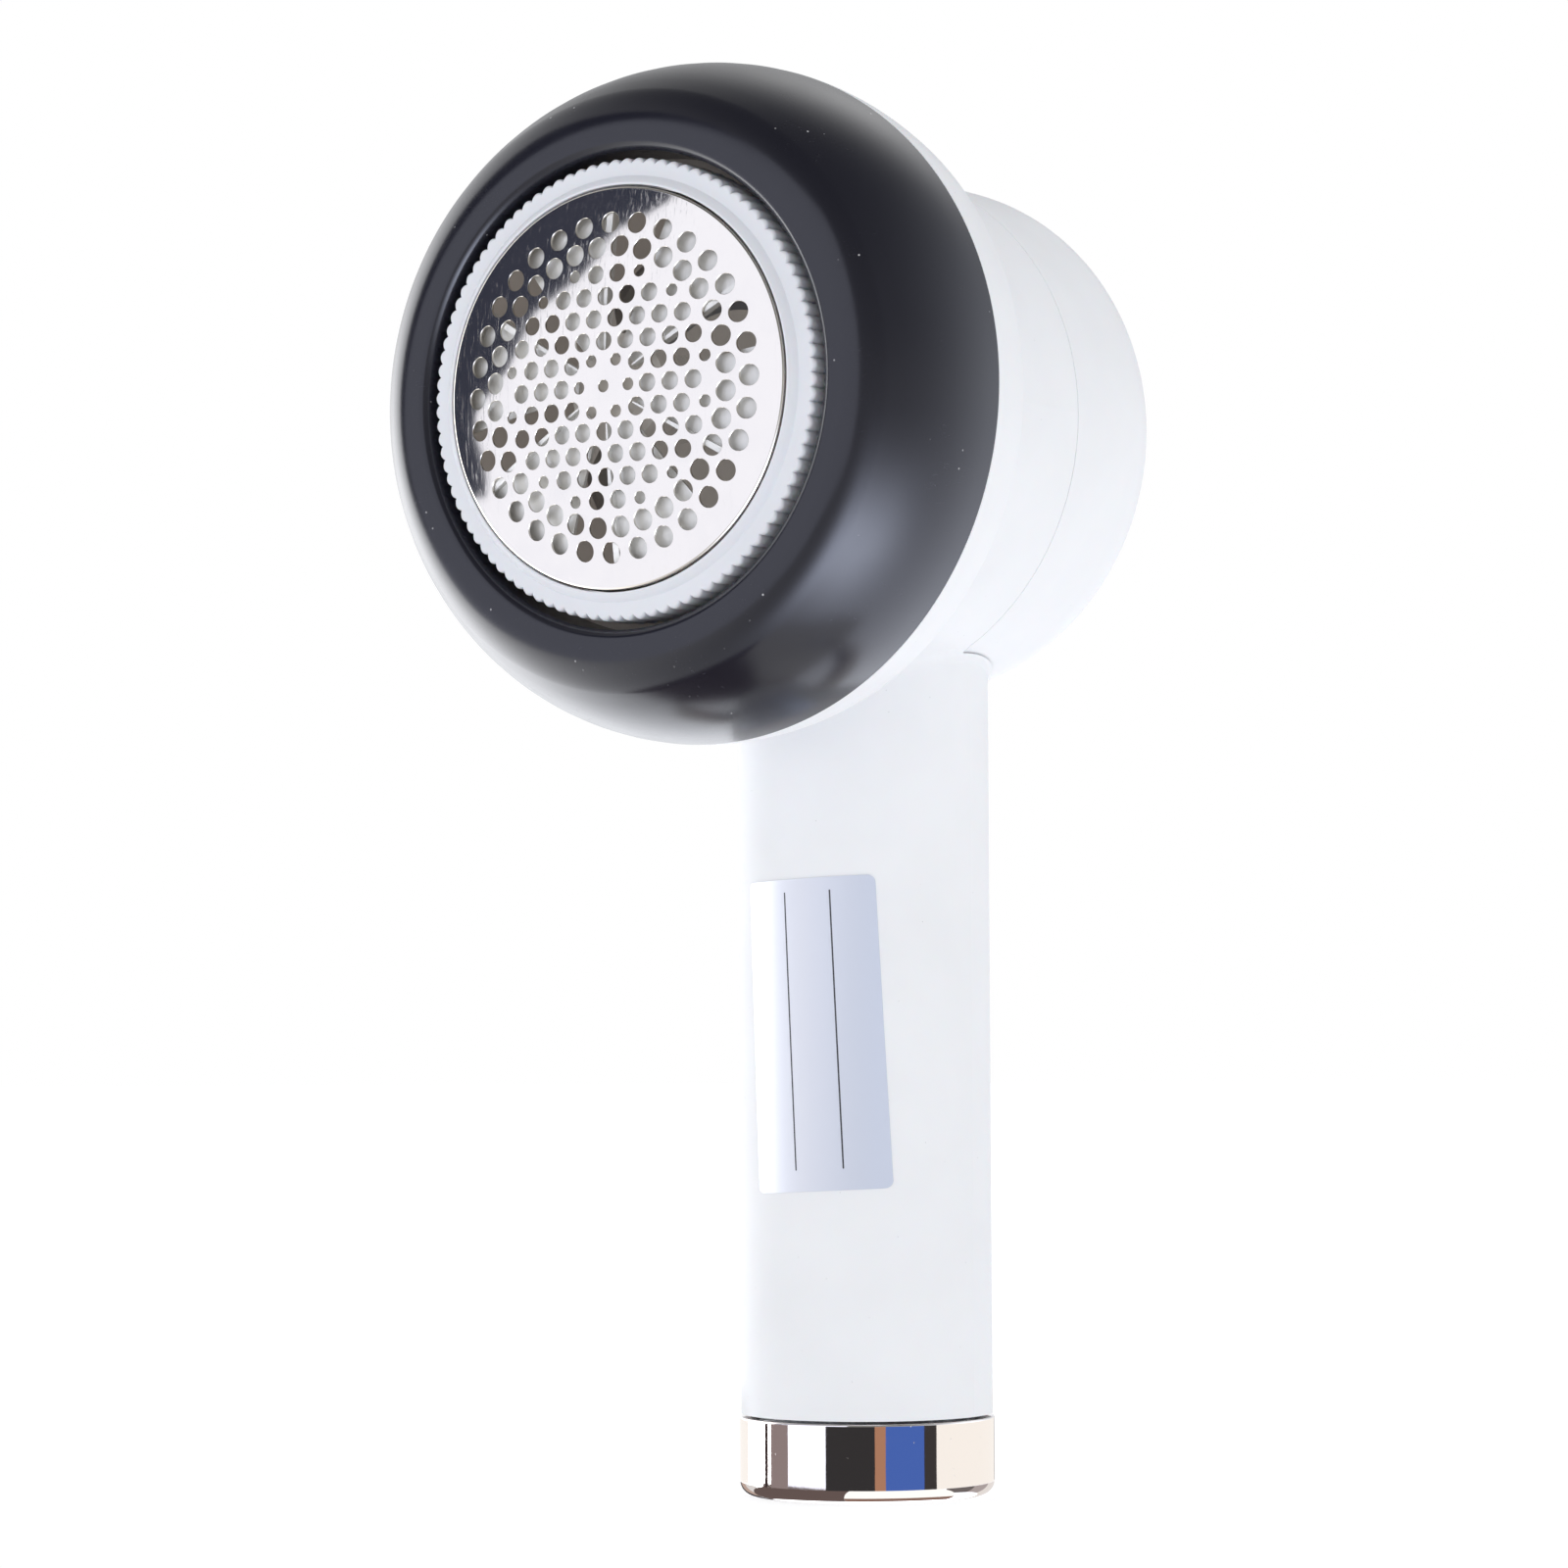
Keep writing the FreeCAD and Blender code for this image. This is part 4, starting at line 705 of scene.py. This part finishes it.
def foil_holes():
    """Every hole of the foil as (x, y, radius)."""
    pitch = 3.52
    hole = 1.23
    pinhole = 0.82
    rim_hole = 1.42
    pinhole_circle = 4.0
    inner_circle = 19.0
    outer_circle = 22.3
    circle_count = 32
    first_norm = 3
    last_norm = 21
    sectors = 6
    holes = [(0.0, 0.0, pinhole)]
    holes += [(x, y, pinhole) for x, y in around(pinhole_circle, 0, sectors)]
    for i in range(1, 5):
        for j in range(0, 5):
            norm = i * i + i * j + j * j
            if first_norm <= norm <= last_norm:
                radius = pinhole if norm == last_norm else hole
                places = around(pitch * (i + j / 2), pitch * j * math.sqrt(3) / 2, sectors)
                holes += [(x, y, radius) for x, y in places]
    half_step = math.pi / circle_count
    holes += [(x, y, rim_hole) for x, y in around(*polar(inner_circle, half_step), circle_count)]
    holes += [(x, y, rim_hole) for x, y in around(outer_circle, 0, circle_count)]
    return holes


def dome(radius, depth):
    """Forward distance of the sphere a depth behind the foil's face."""
    return FOIL_TOP - DOME_RADIUS + math.sqrt((DOME_RADIUS - depth) ** 2 - radius ** 2)


def foil_plan(holes, rim, rim_count):
    """Flat triangles of the foil between its rim and its holes.

    Returns the points, each point's hole or None, the triangles and each hole's ring of points."""
    hole_count = 30
    relief = 0.05
    spacing = 1.7
    hole_margin = 0.45
    rim_margin = 0.8
    points = []
    edges = []
    rings = []

    def ring(centre, radius, count):
        start = len(points)
        for index in range(count):
            x, y = polar(radius, TURN * index / count)
            points.append(Vector((centre[0] + x, centre[1] + y)))
            edges.append((start + index, start + (index + 1) % count))
        return list(range(start, start + count))

    border = ring((0, 0), rim, rim_count)
    for x, y, radius in holes:
        rings.append(ring((x, y), radius + relief, hole_count))
    reach = int(rim / spacing) + 2
    for row in range(-reach, reach + 1):
        for column in range(-reach, reach + 1):
            x = spacing * (column + (row % 2) / 2)
            y = spacing * row * math.sqrt(3) / 2
            clear = all(math.hypot(x - a, y - b) > radius + hole_margin for a, b, radius in holes)
            if clear and math.hypot(x, y) < rim - rim_margin:
                points.append(Vector((x, y)))
    flat = delaunay_2d_cdt(points, edges, [], 0, 1e-6)
    triangles = []
    for triangle in flat[2]:
        middle = (flat[0][triangle[0]] + flat[0][triangle[1]] + flat[0][triangle[2]]) / 3
        if all(math.hypot(middle.x - a, middle.y - b) > radius + relief for a, b, radius in holes):
            triangles.append(list(triangle))
    if len(flat[0]) != len(points):
        raise RuntimeError("the foil's plan has crossing edges")
    return points, triangles, border, rings


def foil_side(rim, roll):
    """Outline of the foil's rolled rim, skirt and flange, from its outer face round to its inner one."""
    step = 0.2
    edge_height = dome(rim, 0)
    side = [Vector((rim, edge_height))]
    side += arc(side[0], Vector((FOIL_EDGE, edge_height - roll)), -roll, math.radians(15))
    side += [Vector(pair) for pair in (
        (FOIL_EDGE, FOIL_SKIRT + step),
        (FOIL_EDGE + step, FOIL_SKIRT),
        (FOIL_FLANGE, FOIL_SKIRT),
        (FOIL_FLANGE, FOIL_SKIRT - FOIL_THICK),
        (rim, FOIL_SKIRT - FOIL_THICK),
    )]
    return side


def dome_normals(mesh, count):
    """Shade a mesh's first faces, its outer ones, as the smooth dome that they lie on."""
    middle = HEAD @ Vector((0, 0, FOIL_TOP - DOME_RADIUS)) * MM
    normals = [(0.0, 0.0, 0.0)] * len(mesh.loops)
    for polygon in mesh.polygons[:count]:
        for loop in polygon.loop_indices:
            place = mesh.vertices[mesh.loops[loop].vertex_index].co
            normals[loop] = tuple((place - middle).normalized())
    mesh.normals_split_custom_set(normals)


def foil_guard():
    """Domed foil with rounded hole edges, a rolled rim, a skirt and a flange."""
    holes = foil_holes()
    rim_count = 240
    roll = 0.35
    rim = FOIL_EDGE - roll
    bead = 0.05
    points, triangles, border, rings = foil_plan(holes, rim, rim_count)
    centres = {}
    for (x, y, radius), ring in zip(holes, rings):
        for index in ring:
            centres[index] = (x, y, radius)
    vertices = [(p.x, p.y, dome(p.length, 0)) for p in points]
    faces = [list(triangle) for triangle in triangles]
    outer_faces = len(faces)

    def hole_edge(index):
        x, y, radius = centres[index]
        away = Vector((points[index].x - x, points[index].y - y)).normalized() * radius
        return x + away.x, y + away.y

    inner_start = len(vertices)
    for index, point in enumerate(points):
        x, y = hole_edge(index) if index in centres else (point.x, point.y)
        vertices.append((x, y, dome(math.hypot(x, y), FOIL_THICK)))
    faces += [[inner_start + corner for corner in reversed(triangle)] for triangle in triangles]
    for ring in rings:
        start = len(vertices)
        for index in ring:
            x, y = hole_edge(index)
            vertices.append((x, y, dome(math.hypot(x, y), bead)))
        count = len(ring)
        for index in range(count):
            after = (index + 1) % count
            faces.append([ring[after], ring[index], start + index, start + after])
            faces.append([start + after, start + index,
                          inner_start + ring[index], inner_start + ring[after]])
    rows = [border]
    for point in foil_side(rim, roll)[1:]:
        row = []
        for index in range(rim_count):
            row.append(len(vertices))
            vertices.append((*polar(point.x, TURN * index / rim_count), point.y))
        rows.append(row)
    rows.append([inner_start + index for index in border])
    faces += quads(rows, flip=True)
    mesh = make_mesh("foil_dome", vertices, faces, HEAD)
    dome_normals(mesh, outer_faces)
    piece("foil_dome", mesh, "foil", "polished_foil", "foil_guard")


# ---------------------------------------------------------------- handle

def charging_slot(top):
    """A solid to cut the charging slot with: two half rounds joined by flats, up to a height."""
    length = 9.8
    width = 4.0
    shift = (length - width) / 2
    half_round = 24
    bottom = -1.0
    rim = []
    for index in range(2 * half_round):
        side = 1 if index < half_round else -1
        angle = math.pi * (index % half_round / (half_round - 1) - side / 2)
        x, y = polar(width / 2, angle)
        rim.append((side * shift + x, y))
    count = len(rim)
    vertices = [(x, y, bottom) for x, y in rim] + [(x, y, top) for x, y in rim]
    faces = [list(reversed(range(count))), list(range(count, 2 * count))]
    faces += [[i, (i + 1) % count, count + (i + 1) % count, count + i] for i in range(count)]
    return make_mesh("slot_cutter", vertices, faces, HANDLE)


def end_cap():
    """Bright plated cup, with the charging slot cut in its bottom."""
    corner = 2.0
    wall = 1.5
    floor = 1.5
    edge = 0.3
    inner = FOOT_RADIUS - wall
    outline = trace([
        (0, 0),
        (FOOT_RADIUS - corner, 0),
        (FOOT_RADIUS, corner, corner),
        (FOOT_RADIUS, FOOT_HEIGHT - edge),
        (FOOT_RADIUS - edge, FOOT_HEIGHT, edge),
        (inner, FOOT_HEIGHT),
        (inner, floor + corner),
        (FOOT_RADIUS - corner, floor),
        (0, floor),
    ])
    mesh = revolve("end_cap_shell", soften(outline, 0.1), HANDLE, 240)
    cap = piece("end_cap_shell", mesh, "housing", "rose_chrome", "end_cap")
    cutter = show("slot_cutter", charging_slot(floor + corner))
    cut = cap.modifiers.new("slot", "BOOLEAN")
    cut.object = cutter
    cut.operation = "DIFFERENCE"
    cut.solver = "EXACT"
    bpy.context.view_layer.update()
    carved = bpy.data.meshes.new_from_object(cap.evaluated_get(bpy.context.evaluated_depsgraph_get()))
    cap.modifiers.clear()
    cap.data = carved
    bpy.data.objects.remove(cutter)
    carved.set_sharp_from_angle(angle=SHARP)
    even_normals(cap)


LABEL_TURN = math.radians(6.8)
LABEL_TILT = math.radians(2.6)
LABEL_HEIGHT = 65.7


def wrapped(name, left, right, bottom, top, corner, inside, outside):
    """A thin patch wrapped on the handle, in the label's own tilted directions."""
    across = 40
    corner_rows = 8
    eased = [corner * (1 - math.cos(math.pi / 2 * i / corner_rows)) for i in range(corner_rows)]
    levels = [bottom + rise for rise in eased]
    levels += [bottom + corner + (top - bottom - 2 * corner) * i / across for i in range(across + 1)]
    levels += [top - rise for rise in reversed(eased)]
    centre = (left + right) / 2
    rows = []
    vertices = []
    for level in levels:
        depth = max(0.0, corner - min(level - bottom, top - level))
        inset = corner - math.sqrt(max(0.0, corner ** 2 - depth ** 2))
        half = (right - left) / 2 - inset
        row = []
        for index in range(across + 1):
            row.append(rotate(centre + half * (2 * index / across - 1), level, LABEL_TILT))
        rows.append(row)
    for radius in (outside, inside):
        for row in rows:
            for x, z in row:
                y = -math.sqrt(radius ** 2 - x ** 2)
                vertices.append((*rotate(x, y, LABEL_TURN), z + LABEL_HEIGHT))
    width = across + 1
    height = len(rows)
    layer = width * height
    faces = []
    for r in range(height - 1):
        for c in range(across):
            quad = [r * width + c, r * width + c + 1, (r + 1) * width + c + 1, (r + 1) * width + c]
            faces.append(quad)
            faces.append([layer + corner_index for corner_index in reversed(quad)])
    loop = list(range(width))
    loop += [r * width + across for r in range(1, height)]
    loop += [(height - 1) * width + c for c in range(across - 1, -1, -1)]
    loop += [r * width for r in range(height - 2, 0, -1)]
    for index, first in enumerate(loop):
        second = loop[(index + 1) % len(loop)]
        faces.append([second, first, layer + first, layer + second])
    return make_mesh(name, vertices, faces, HANDLE)


def rating_label():
    """Blank silver label with two printed rules."""
    inside = HANDLE_RADIUS + 0.02
    outside = HANDLE_RADIUS + 0.139
    side = 20.3 / 2
    end = 44.0 / 2
    corner = 1.0
    film = wrapped("label_film", -side, side, -end, end, corner, inside, outside)
    piece("label_film", film, "housing", "silver_label", "rating_label")
    ink = printed_ink()
    rule_places = (4.05, -3.1)
    rule_half = 0.11
    rule_bottom = -19.0
    rule_top = 20.2
    rule_corner = 0.1
    sunk = 0.01
    proud = 0.012
    for number, place in enumerate(rule_places, start=1):
        rule = wrapped(f"label_rule_{number}", place - rule_half, place + rule_half, rule_bottom, rule_top,
                       rule_corner, outside - sunk, outside + proud)
        piece(f"label_rule_{number}", rule, "housing", "silver_label", finish=ink)


def power_button():
    """Dished push button on its stem."""
    flange = 6.8
    cap = 5.8
    stem = 1.5
    crown = 0.5
    back = 13.9
    flange_top = 15.0
    dish = 0.35
    groove = 4.4
    groove_half = 0.3
    groove_depth = 0.2
    groove_step = 0.03
    outline = trace([
        (0, low("power_button", Y)),
        (stem, low("power_button", Y)),
        (stem, back),
        (flange, back),
        (flange, flange_top),
        (cap, flange_top),
        (cap, BUTTON_BACK - crown),
        (cap - crown, BUTTON_BACK, crown),
        (groove + groove_half, BUTTON_BACK),
        (groove, BUTTON_BACK - groove_depth),
        (groove - groove_half, BUTTON_BACK - groove_step),
        (0, BUTTON_BACK - dish, -groove ** 2 / dish),
    ])
    turned("power_button_cap", outline, 0.08, BACK, 128, "button", "button_white", "power_button")


def button_bezel():
    """Bright bezel with a rounded outer edge."""
    bore = 5.9
    edge = 0.4
    outline = trace([
        (bore, BEZEL_BACK),
        (BEZEL_RADIUS, BEZEL_BACK),
        (BEZEL_RADIUS, BEZEL_FRONT - edge),
        (BEZEL_RADIUS - edge, BEZEL_FRONT, edge),
        (bore + edge / 2, BEZEL_FRONT),
        (bore, BEZEL_FRONT - edge / 2, edge / 2),
    ])
    turned("bezel_ring", outline, 0.06, BACK, 160, "housing", "rose_chrome", "button_bezel")


def status_lens():
    """Small lens with a domed face."""
    radius = high("status_lens", X)
    back = low("status_lens", Y)
    edge = 0.25
    outline = trace([
        (0, back),
        (radius, back),
        (radius, LENS_FRONT - edge),
        (0, LENS_FRONT, (radius ** 2 + edge ** 2) / (2 * edge)),
    ])
    turned("lens_dome", outline, 0.05, LENS_SEAT, 64, "housing", "clear_lens", "status_lens")


def spring(name, node, place, bottom, top, turns):
    """Compression spring with closed ends, between the two bodies that it pushes apart."""
    wire = 0.3
    closed = 0.8
    climb = 2.1 * wire
    section = 12
    steps = 48
    count = round(turns * steps)
    radius = high(node, X) - wire
    first = bottom + wire + closed * climb
    last = top - wire - closed * climb
    pitch = (last - first) / (turns - 2 * closed)
    vertices = []
    for index in range(count + 1):
        turn = turns * index / count
        open_turn = min(max(turn, closed), turns - closed)
        height = first + pitch * (open_turn - closed) + climb * (turn - open_turn)
        for side in range(section):
            out, up = polar(wire, TURN * side / section)
            vertices.append((*polar(radius + out, TURN * turn), height + up))
    rows = grid(count + 1, section)
    faces = [rows[0], rows[-1][::-1]] + quads(rows, flip=True)
    thing = show(name, make_mesh(name, vertices, faces, place))
    thing.data.materials.append(FINISHES["plated_steel"])
    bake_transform(thing)
    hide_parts(node)


def springs():
    """The springs behind the blades and under the power button."""
    spring("blade_coil", "blade_spring", HEAD, -high("blade_spring", Y), -low("blade_spring", Y), 4)
    spring("button_coil", "button_spring", BACK, low("button_spring", Y), high("button_spring", Y), 3)


# ---------------------------------------------------------------- stage, lights and camera

def stage_piece(name, vertices, faces, material, **seen):
    """A part of the stage, seen only by the rays it is made for."""
    mesh = bpy.data.meshes.new(name)
    mesh.from_pydata(vertices, [], faces)
    mesh.materials.append(material)
    thing = show(name, mesh)
    for ray in ("camera", "diffuse", "glossy", "transmission", "volume_scatter", "shadow"):
        setattr(thing, f"visible_{ray}", seen.get(ray, False))
    return thing


def emission(tree, colour, strength):
    """A plain emission shader."""
    return add_node(tree, "Emission", {"Color": (*colour, 1), "Strength": strength}).outputs[0]


def stage_material(name):
    """An empty material, its node tree and the surface input to link to."""
    material = bpy.data.materials.new(name)
    material.use_nodes = True
    tree = material.node_tree
    tree.nodes.clear()
    return material, tree, add_node(tree, "OutputMaterial").inputs["Surface"]


def glow(name, colour, strength):
    """A plain emitter for the stage."""
    material, tree, surface = stage_material(name)
    tree.links.new(emission(tree, colour, strength), surface)
    return material


def pale_paint():
    """Pale paint with a glow of its own, which fades into the white of the backdrop."""
    white = (1, 1, 1)
    near_glow = 0.74
    far_glow = 1.15
    fade_start = 0.12
    fade_end = 0.7
    material, tree, surface = stage_material("pale_floor")
    paint = add_node(tree, "BsdfDiffuse", {"Color": (0.42, 0.42, 0.425, 1)}).outputs[0]
    both = add_node(tree, "AddShader", {0: emission(tree, white, near_glow), 1: paint}).outputs[0]
    places = add_node(tree, "TexCoord").outputs["Object"]
    distance = add_node(tree, "VectorMath", {0: places}, operation="LENGTH").outputs["Value"]
    fade = add_node(tree, "MapRange", {"Value": distance, "From Min": fade_start, "From Max": fade_end},
                    interpolation_type="SMOOTHSTEP").outputs["Result"]
    mix = add_node(tree, "MixShader", {0: fade, 1: both, 2: emission(tree, white, far_glow)})
    tree.links.new(mix.outputs[0], surface)
    return material


def floor():
    """Pale round floor, just under the object."""
    count = 96
    radius = 5.9
    drop = -0.00005
    vertices = [(*polar(radius, TURN * i / count), drop) for i in range(count)]
    stage_piece("floor", vertices, [list(range(count))], pale_paint(),
                camera=True, diffuse=True, transmission=True, shadow=True)


def backdrop():
    """White dome that only the camera sees."""
    rows = 24
    columns = 48
    radius = 6.0
    vertices = []
    for row in range(rows + 1):
        level, height = polar(radius, math.pi * (row / rows - 0.5))
        vertices += [(*polar(level, TURN * column / columns), height) for column in range(columns)]
    stage_piece("backdrop", vertices, quads(grid(rows + 1, columns)),
                glow("backdrop_white", (1, 1, 1), 1.0), camera=True, transmission=True)


def card(name, begin, end, bottom, top, radius, colour, strength=1.0, flare=0.0):
    """A curved card standing round the handle, seen only in reflections.

    It runs from a begin to an end angle, from -Y towards +X, and either may be a function of the height.
    The radius grows by flare towards the top."""
    columns = 16
    rows = 24
    vertices = []
    for row in range(rows + 1):
        height = bottom + (top - bottom) * row / rows
        first = begin(height) if callable(begin) else begin
        last = end(height) if callable(end) else end
        reach = (radius + flare * row / rows) * MM
        for column in range(columns + 1):
            angle = math.radians(first + (last - first) * column / columns)
            vertices.append((reach * math.sin(angle), -reach * math.cos(angle), height * MM))
    stage_piece(name, vertices, quads(grid(rows + 1, columns + 1), closed=False),
                glow(name, colour, strength), glossy=True)


CAMERA_AZIMUTH = 33.318
CAMERA_ELEVATION = -2.872
CAMERA_ROLL = 0.267
CAMERA_PLACE = (384.6, -606.0, 65.8)
CAMERA_LENS = 114.37
SENSOR = 36.0


def screen_edge(height):
    """Where the dark screen ends and the soft box begins: a bulge at the head, slanting off above."""
    edge = -47
    bulge = 6 * math.exp(-((height - 190) / 90) ** 2)
    slant = 17 * max(0.0, (height - 330) / 250)
    ripple = 1.2 * math.sin(height / 22)
    return edge - bulge + slant + ripple


def box_edge(height):
    """The soft box's other side: it stops short below the head."""
    return -5 if height < 0 else 14


SCREEN_RADIUS = 60.0

# Bands that the foot mirrors towards the camera: (name, from and to azimuth of the reflection, colour)
FOOT_BANDS = (
    ("thin_screen", -74, -69, (0.05, 0.035, 0.035)),
    ("mauve_screen", -65.4, -44, (0.27, 0.215, 0.215)),
    ("black_screen", -5.5, 39, (0.035, 0.033, 0.035)),
    ("tan_screen", 39, 48.7, (0.42, 0.21, 0.13)),
    ("blue_screen", 48.7, 84.8, (0.065, 0.135, 0.47)),
    ("end_screen", 84.8, 97.6, (0.045, 0.04, 0.04)),
    ("beige_screen", 97.6, 202, (0.98, 0.94, 0.90)),
    ("rear_screen", 202, 222, (0.16, 0.13, 0.12)),
    ("far_screen", 222, 286, (1.0, 0.97, 0.94)),
)
FOOT_BOTTOM = -3
FOOT_TOP = 11

# Lower bands, for views from behind and above: (name, from and to azimuth, colour)
REAR_BANDS = (
    ("rear_low_dark", 98, 132, (0.16, 0.14, 0.14)),
    ("rear_low_mauve", 132, 158, (0.42, 0.37, 0.37)),
    ("rear_low_pale", 158, 196, (0.80, 0.76, 0.74)),
    ("rear_low_grey", 196, 216, (0.34, 0.32, 0.33)),
    ("rear_low_black", 216, 246, (0.07, 0.065, 0.07)),
    ("rear_low_tan", 246, 262, (0.50, 0.38, 0.33)),
    ("rear_low_light", 262, 286, (0.72, 0.70, 0.70)),
)
REAR_BOTTOM = -30
REAR_TOP = -3.4

# Cards low round the foot, for its rounded edge: name, azimuths, heights, radius, colour, strength, flare
TABLE_CARDS = (
    ("table_shade", -68, 18, -6, -5, FOOT_RADIUS - 2.5, (0.13, 0.095, 0.09), 1.0, 80),
    ("table_light", 18, 95, -6, -5, FOOT_RADIUS + 2, (1.0, 1.0, 1.0), 1.1, 70),
    ("table_rim", 18, 95, -6.2, -6, FOOT_RADIUS - 2.5, (0.25, 0.15, 0.12), 1.0, 4.5),
)


def beside_foot(azimuth):
    """Where a ray that the foot mirrors towards an azimuth meets the screens round it."""
    incidence = math.radians((azimuth - CAMERA_AZIMUTH) / 2)
    return azimuth - math.degrees(math.asin(FOOT_RADIUS / SCREEN_RADIUS * math.sin(incidence)))


def reflected_studio():
    """What the mirror-like surfaces see: a soft box, a dark screen and small screens round the foot."""
    card("soft_box", -60, box_edge, -104, 820, 930, (0.90, 0.93, 1.08), 1.33)
    card("slate_screen", -64, screen_edge, 120, 820, 880, (0.040, 0.045, 0.075))
    for name, first, last, colour in FOOT_BANDS:
        card(name, beside_foot(first), beside_foot(last), FOOT_BOTTOM, FOOT_TOP, SCREEN_RADIUS, colour)
    for name, first, last, colour in REAR_BANDS:
        card(name, first, last, REAR_BOTTOM, REAR_TOP, SCREEN_RADIUS, colour)
    for values in TABLE_CARDS:
        card(*values)


# Soft patches of light in reflections: (azimuth from -Y towards +X, elevation, half width, colour)
PATCHES = (
    (-84, -6, 27, (6.3, 6.35, 6.5)),
    (82, -45, 15, (4.8, 5.2, 6.4)),
    (46, -42, 15, (4.4, 4.8, 6.0)),
    (-142, -38, 26, (1.6, 1.65, 1.75)),
    (150, -45, 32, (1.5, 1.6, 1.9)),
    (-170, 46, 16, (1.3, 1.3, 1.3)),
    (137, 8, 28, (0.85, 0.9, 1.0)),
)


# Greys of the sky that lights and of the one reflected, from straight down at 0 to straight up at 1
LIT_SKY = ((0.0, 1.1), (0.5, 1.2), (0.75, 0.86), (1.0, 0.6))
SEEN_SKY = ((0.0, 0.62), (0.3, 0.6), (0.5, 0.42), (0.7, 0.25), (1.0, 0.12))
# The light taken away behind the object, in the same terms as a patch
REAR_SHADE = (-147, 12, 42, (-0.5, -0.49, -0.46))


def direction_ramp(tree, height, stops):
    """Grey by how high a direction points, from straight down at 0 to straight up at 1."""
    ramp = add_node(tree, "ValToRGB", {"Fac": height})
    ramp.color_ramp.interpolation = "EASE"
    while len(ramp.color_ramp.elements) < len(stops):
        ramp.color_ramp.elements.new(0.5)
    for element, (position, grey) in zip(ramp.color_ramp.elements, stops):
        element.position = position
        element.color = (grey, grey, grey, 1)
    return ramp.outputs["Color"]


def patch(tree, direction, azimuth, elevation, half_width, colour):
    """A soft round patch of light in the sky, at half strength at its half width."""
    turn = math.radians(azimuth)
    rise = math.radians(elevation)
    centre = (math.sin(turn) * math.cos(rise), -math.cos(turn) * math.cos(rise), math.sin(rise))
    narrow = math.log(2) / (1 - math.cos(math.radians(half_width)))
    towards = add_node(tree, "VectorMath", {0: direction, 1: centre}, operation="DOT_PRODUCT")
    fall = add_node(tree, "Math", {0: towards.outputs["Value"], 1: narrow, 2: -narrow},
                    operation="MULTIPLY_ADD")
    level = add_node(tree, "Math", {0: fall.outputs[0]}, operation="EXPONENT").outputs[0]
    return add_node(tree, "VectorMath", {0: colour, "Scale": level}, operation="SCALE").outputs[0]


def with_patches(tree, direction, sky, patches):
    """A sky with soft patches of light added."""
    for values in patches:
        light = patch(tree, direction, *values)
        sky = add_node(tree, "VectorMath", {0: sky, 1: light}, operation="ADD").outputs[0]
    return sky


def world():
    """Even soft light on everything, and dark surroundings with soft patches of light in reflections."""
    scene_world = bpy.data.worlds.new("studio")
    bpy.context.scene.world = scene_world
    scene_world.use_nodes = True
    tree = scene_world.node_tree
    direction = add_node(tree, "TexCoord").outputs["Generated"]
    rise = add_node(tree, "SeparateXYZ", {0: direction}).outputs["Z"]
    height = add_node(tree, "MapRange", {"Value": rise, "From Min": -1, "From Max": 1}).outputs["Result"]
    lit = with_patches(tree, direction, direction_ramp(tree, height, LIT_SKY), [REAR_SHADE])
    seen = with_patches(tree, direction, direction_ramp(tree, height, SEEN_SKY), PATCHES)
    glossy = add_node(tree, "LightPath").outputs["Is Glossy Ray"]
    mix = add_node(tree, "Mix", {0: glossy, 6: lit, 7: seen}, data_type="RGBA")
    tree.links.new(mix.outputs[2], tree.nodes["Background"].inputs["Color"])


def camera():
    """The camera at the object's picture angle, looking slightly up."""
    data = bpy.data.cameras.new("camera")
    data.sensor_width = SENSOR
    data.lens = CAMERA_LENS
    data.clip_end = 100
    thing = show("camera", data)
    azimuth = math.radians(CAMERA_AZIMUTH)
    elevation = math.radians(CAMERA_ELEVATION)
    turn = (Matrix.Rotation(azimuth, 4, "Z") @ Matrix.Rotation(math.pi / 2 - elevation, 4, "X")
            @ Matrix.Rotation(math.radians(-CAMERA_ROLL), 4, "Z"))
    thing.matrix_world = Matrix.Translation(Vector(CAMERA_PLACE) * MM) @ turn
    bpy.context.scene.camera = thing


def tone():
    """Plain tone curve, so that white stays white."""
    view = bpy.context.scene.view_settings
    view.view_transform = "Standard"
    view.look = "None"


camera()
tone()
world()
floor()
backdrop()
reflected_studio()
dress_frame()
front_ring()
collar()
lint_bin()
knurled_ring()
foil_guard()
end_cap()
rating_label()
power_button()
button_bezel()
status_lens()
springs()
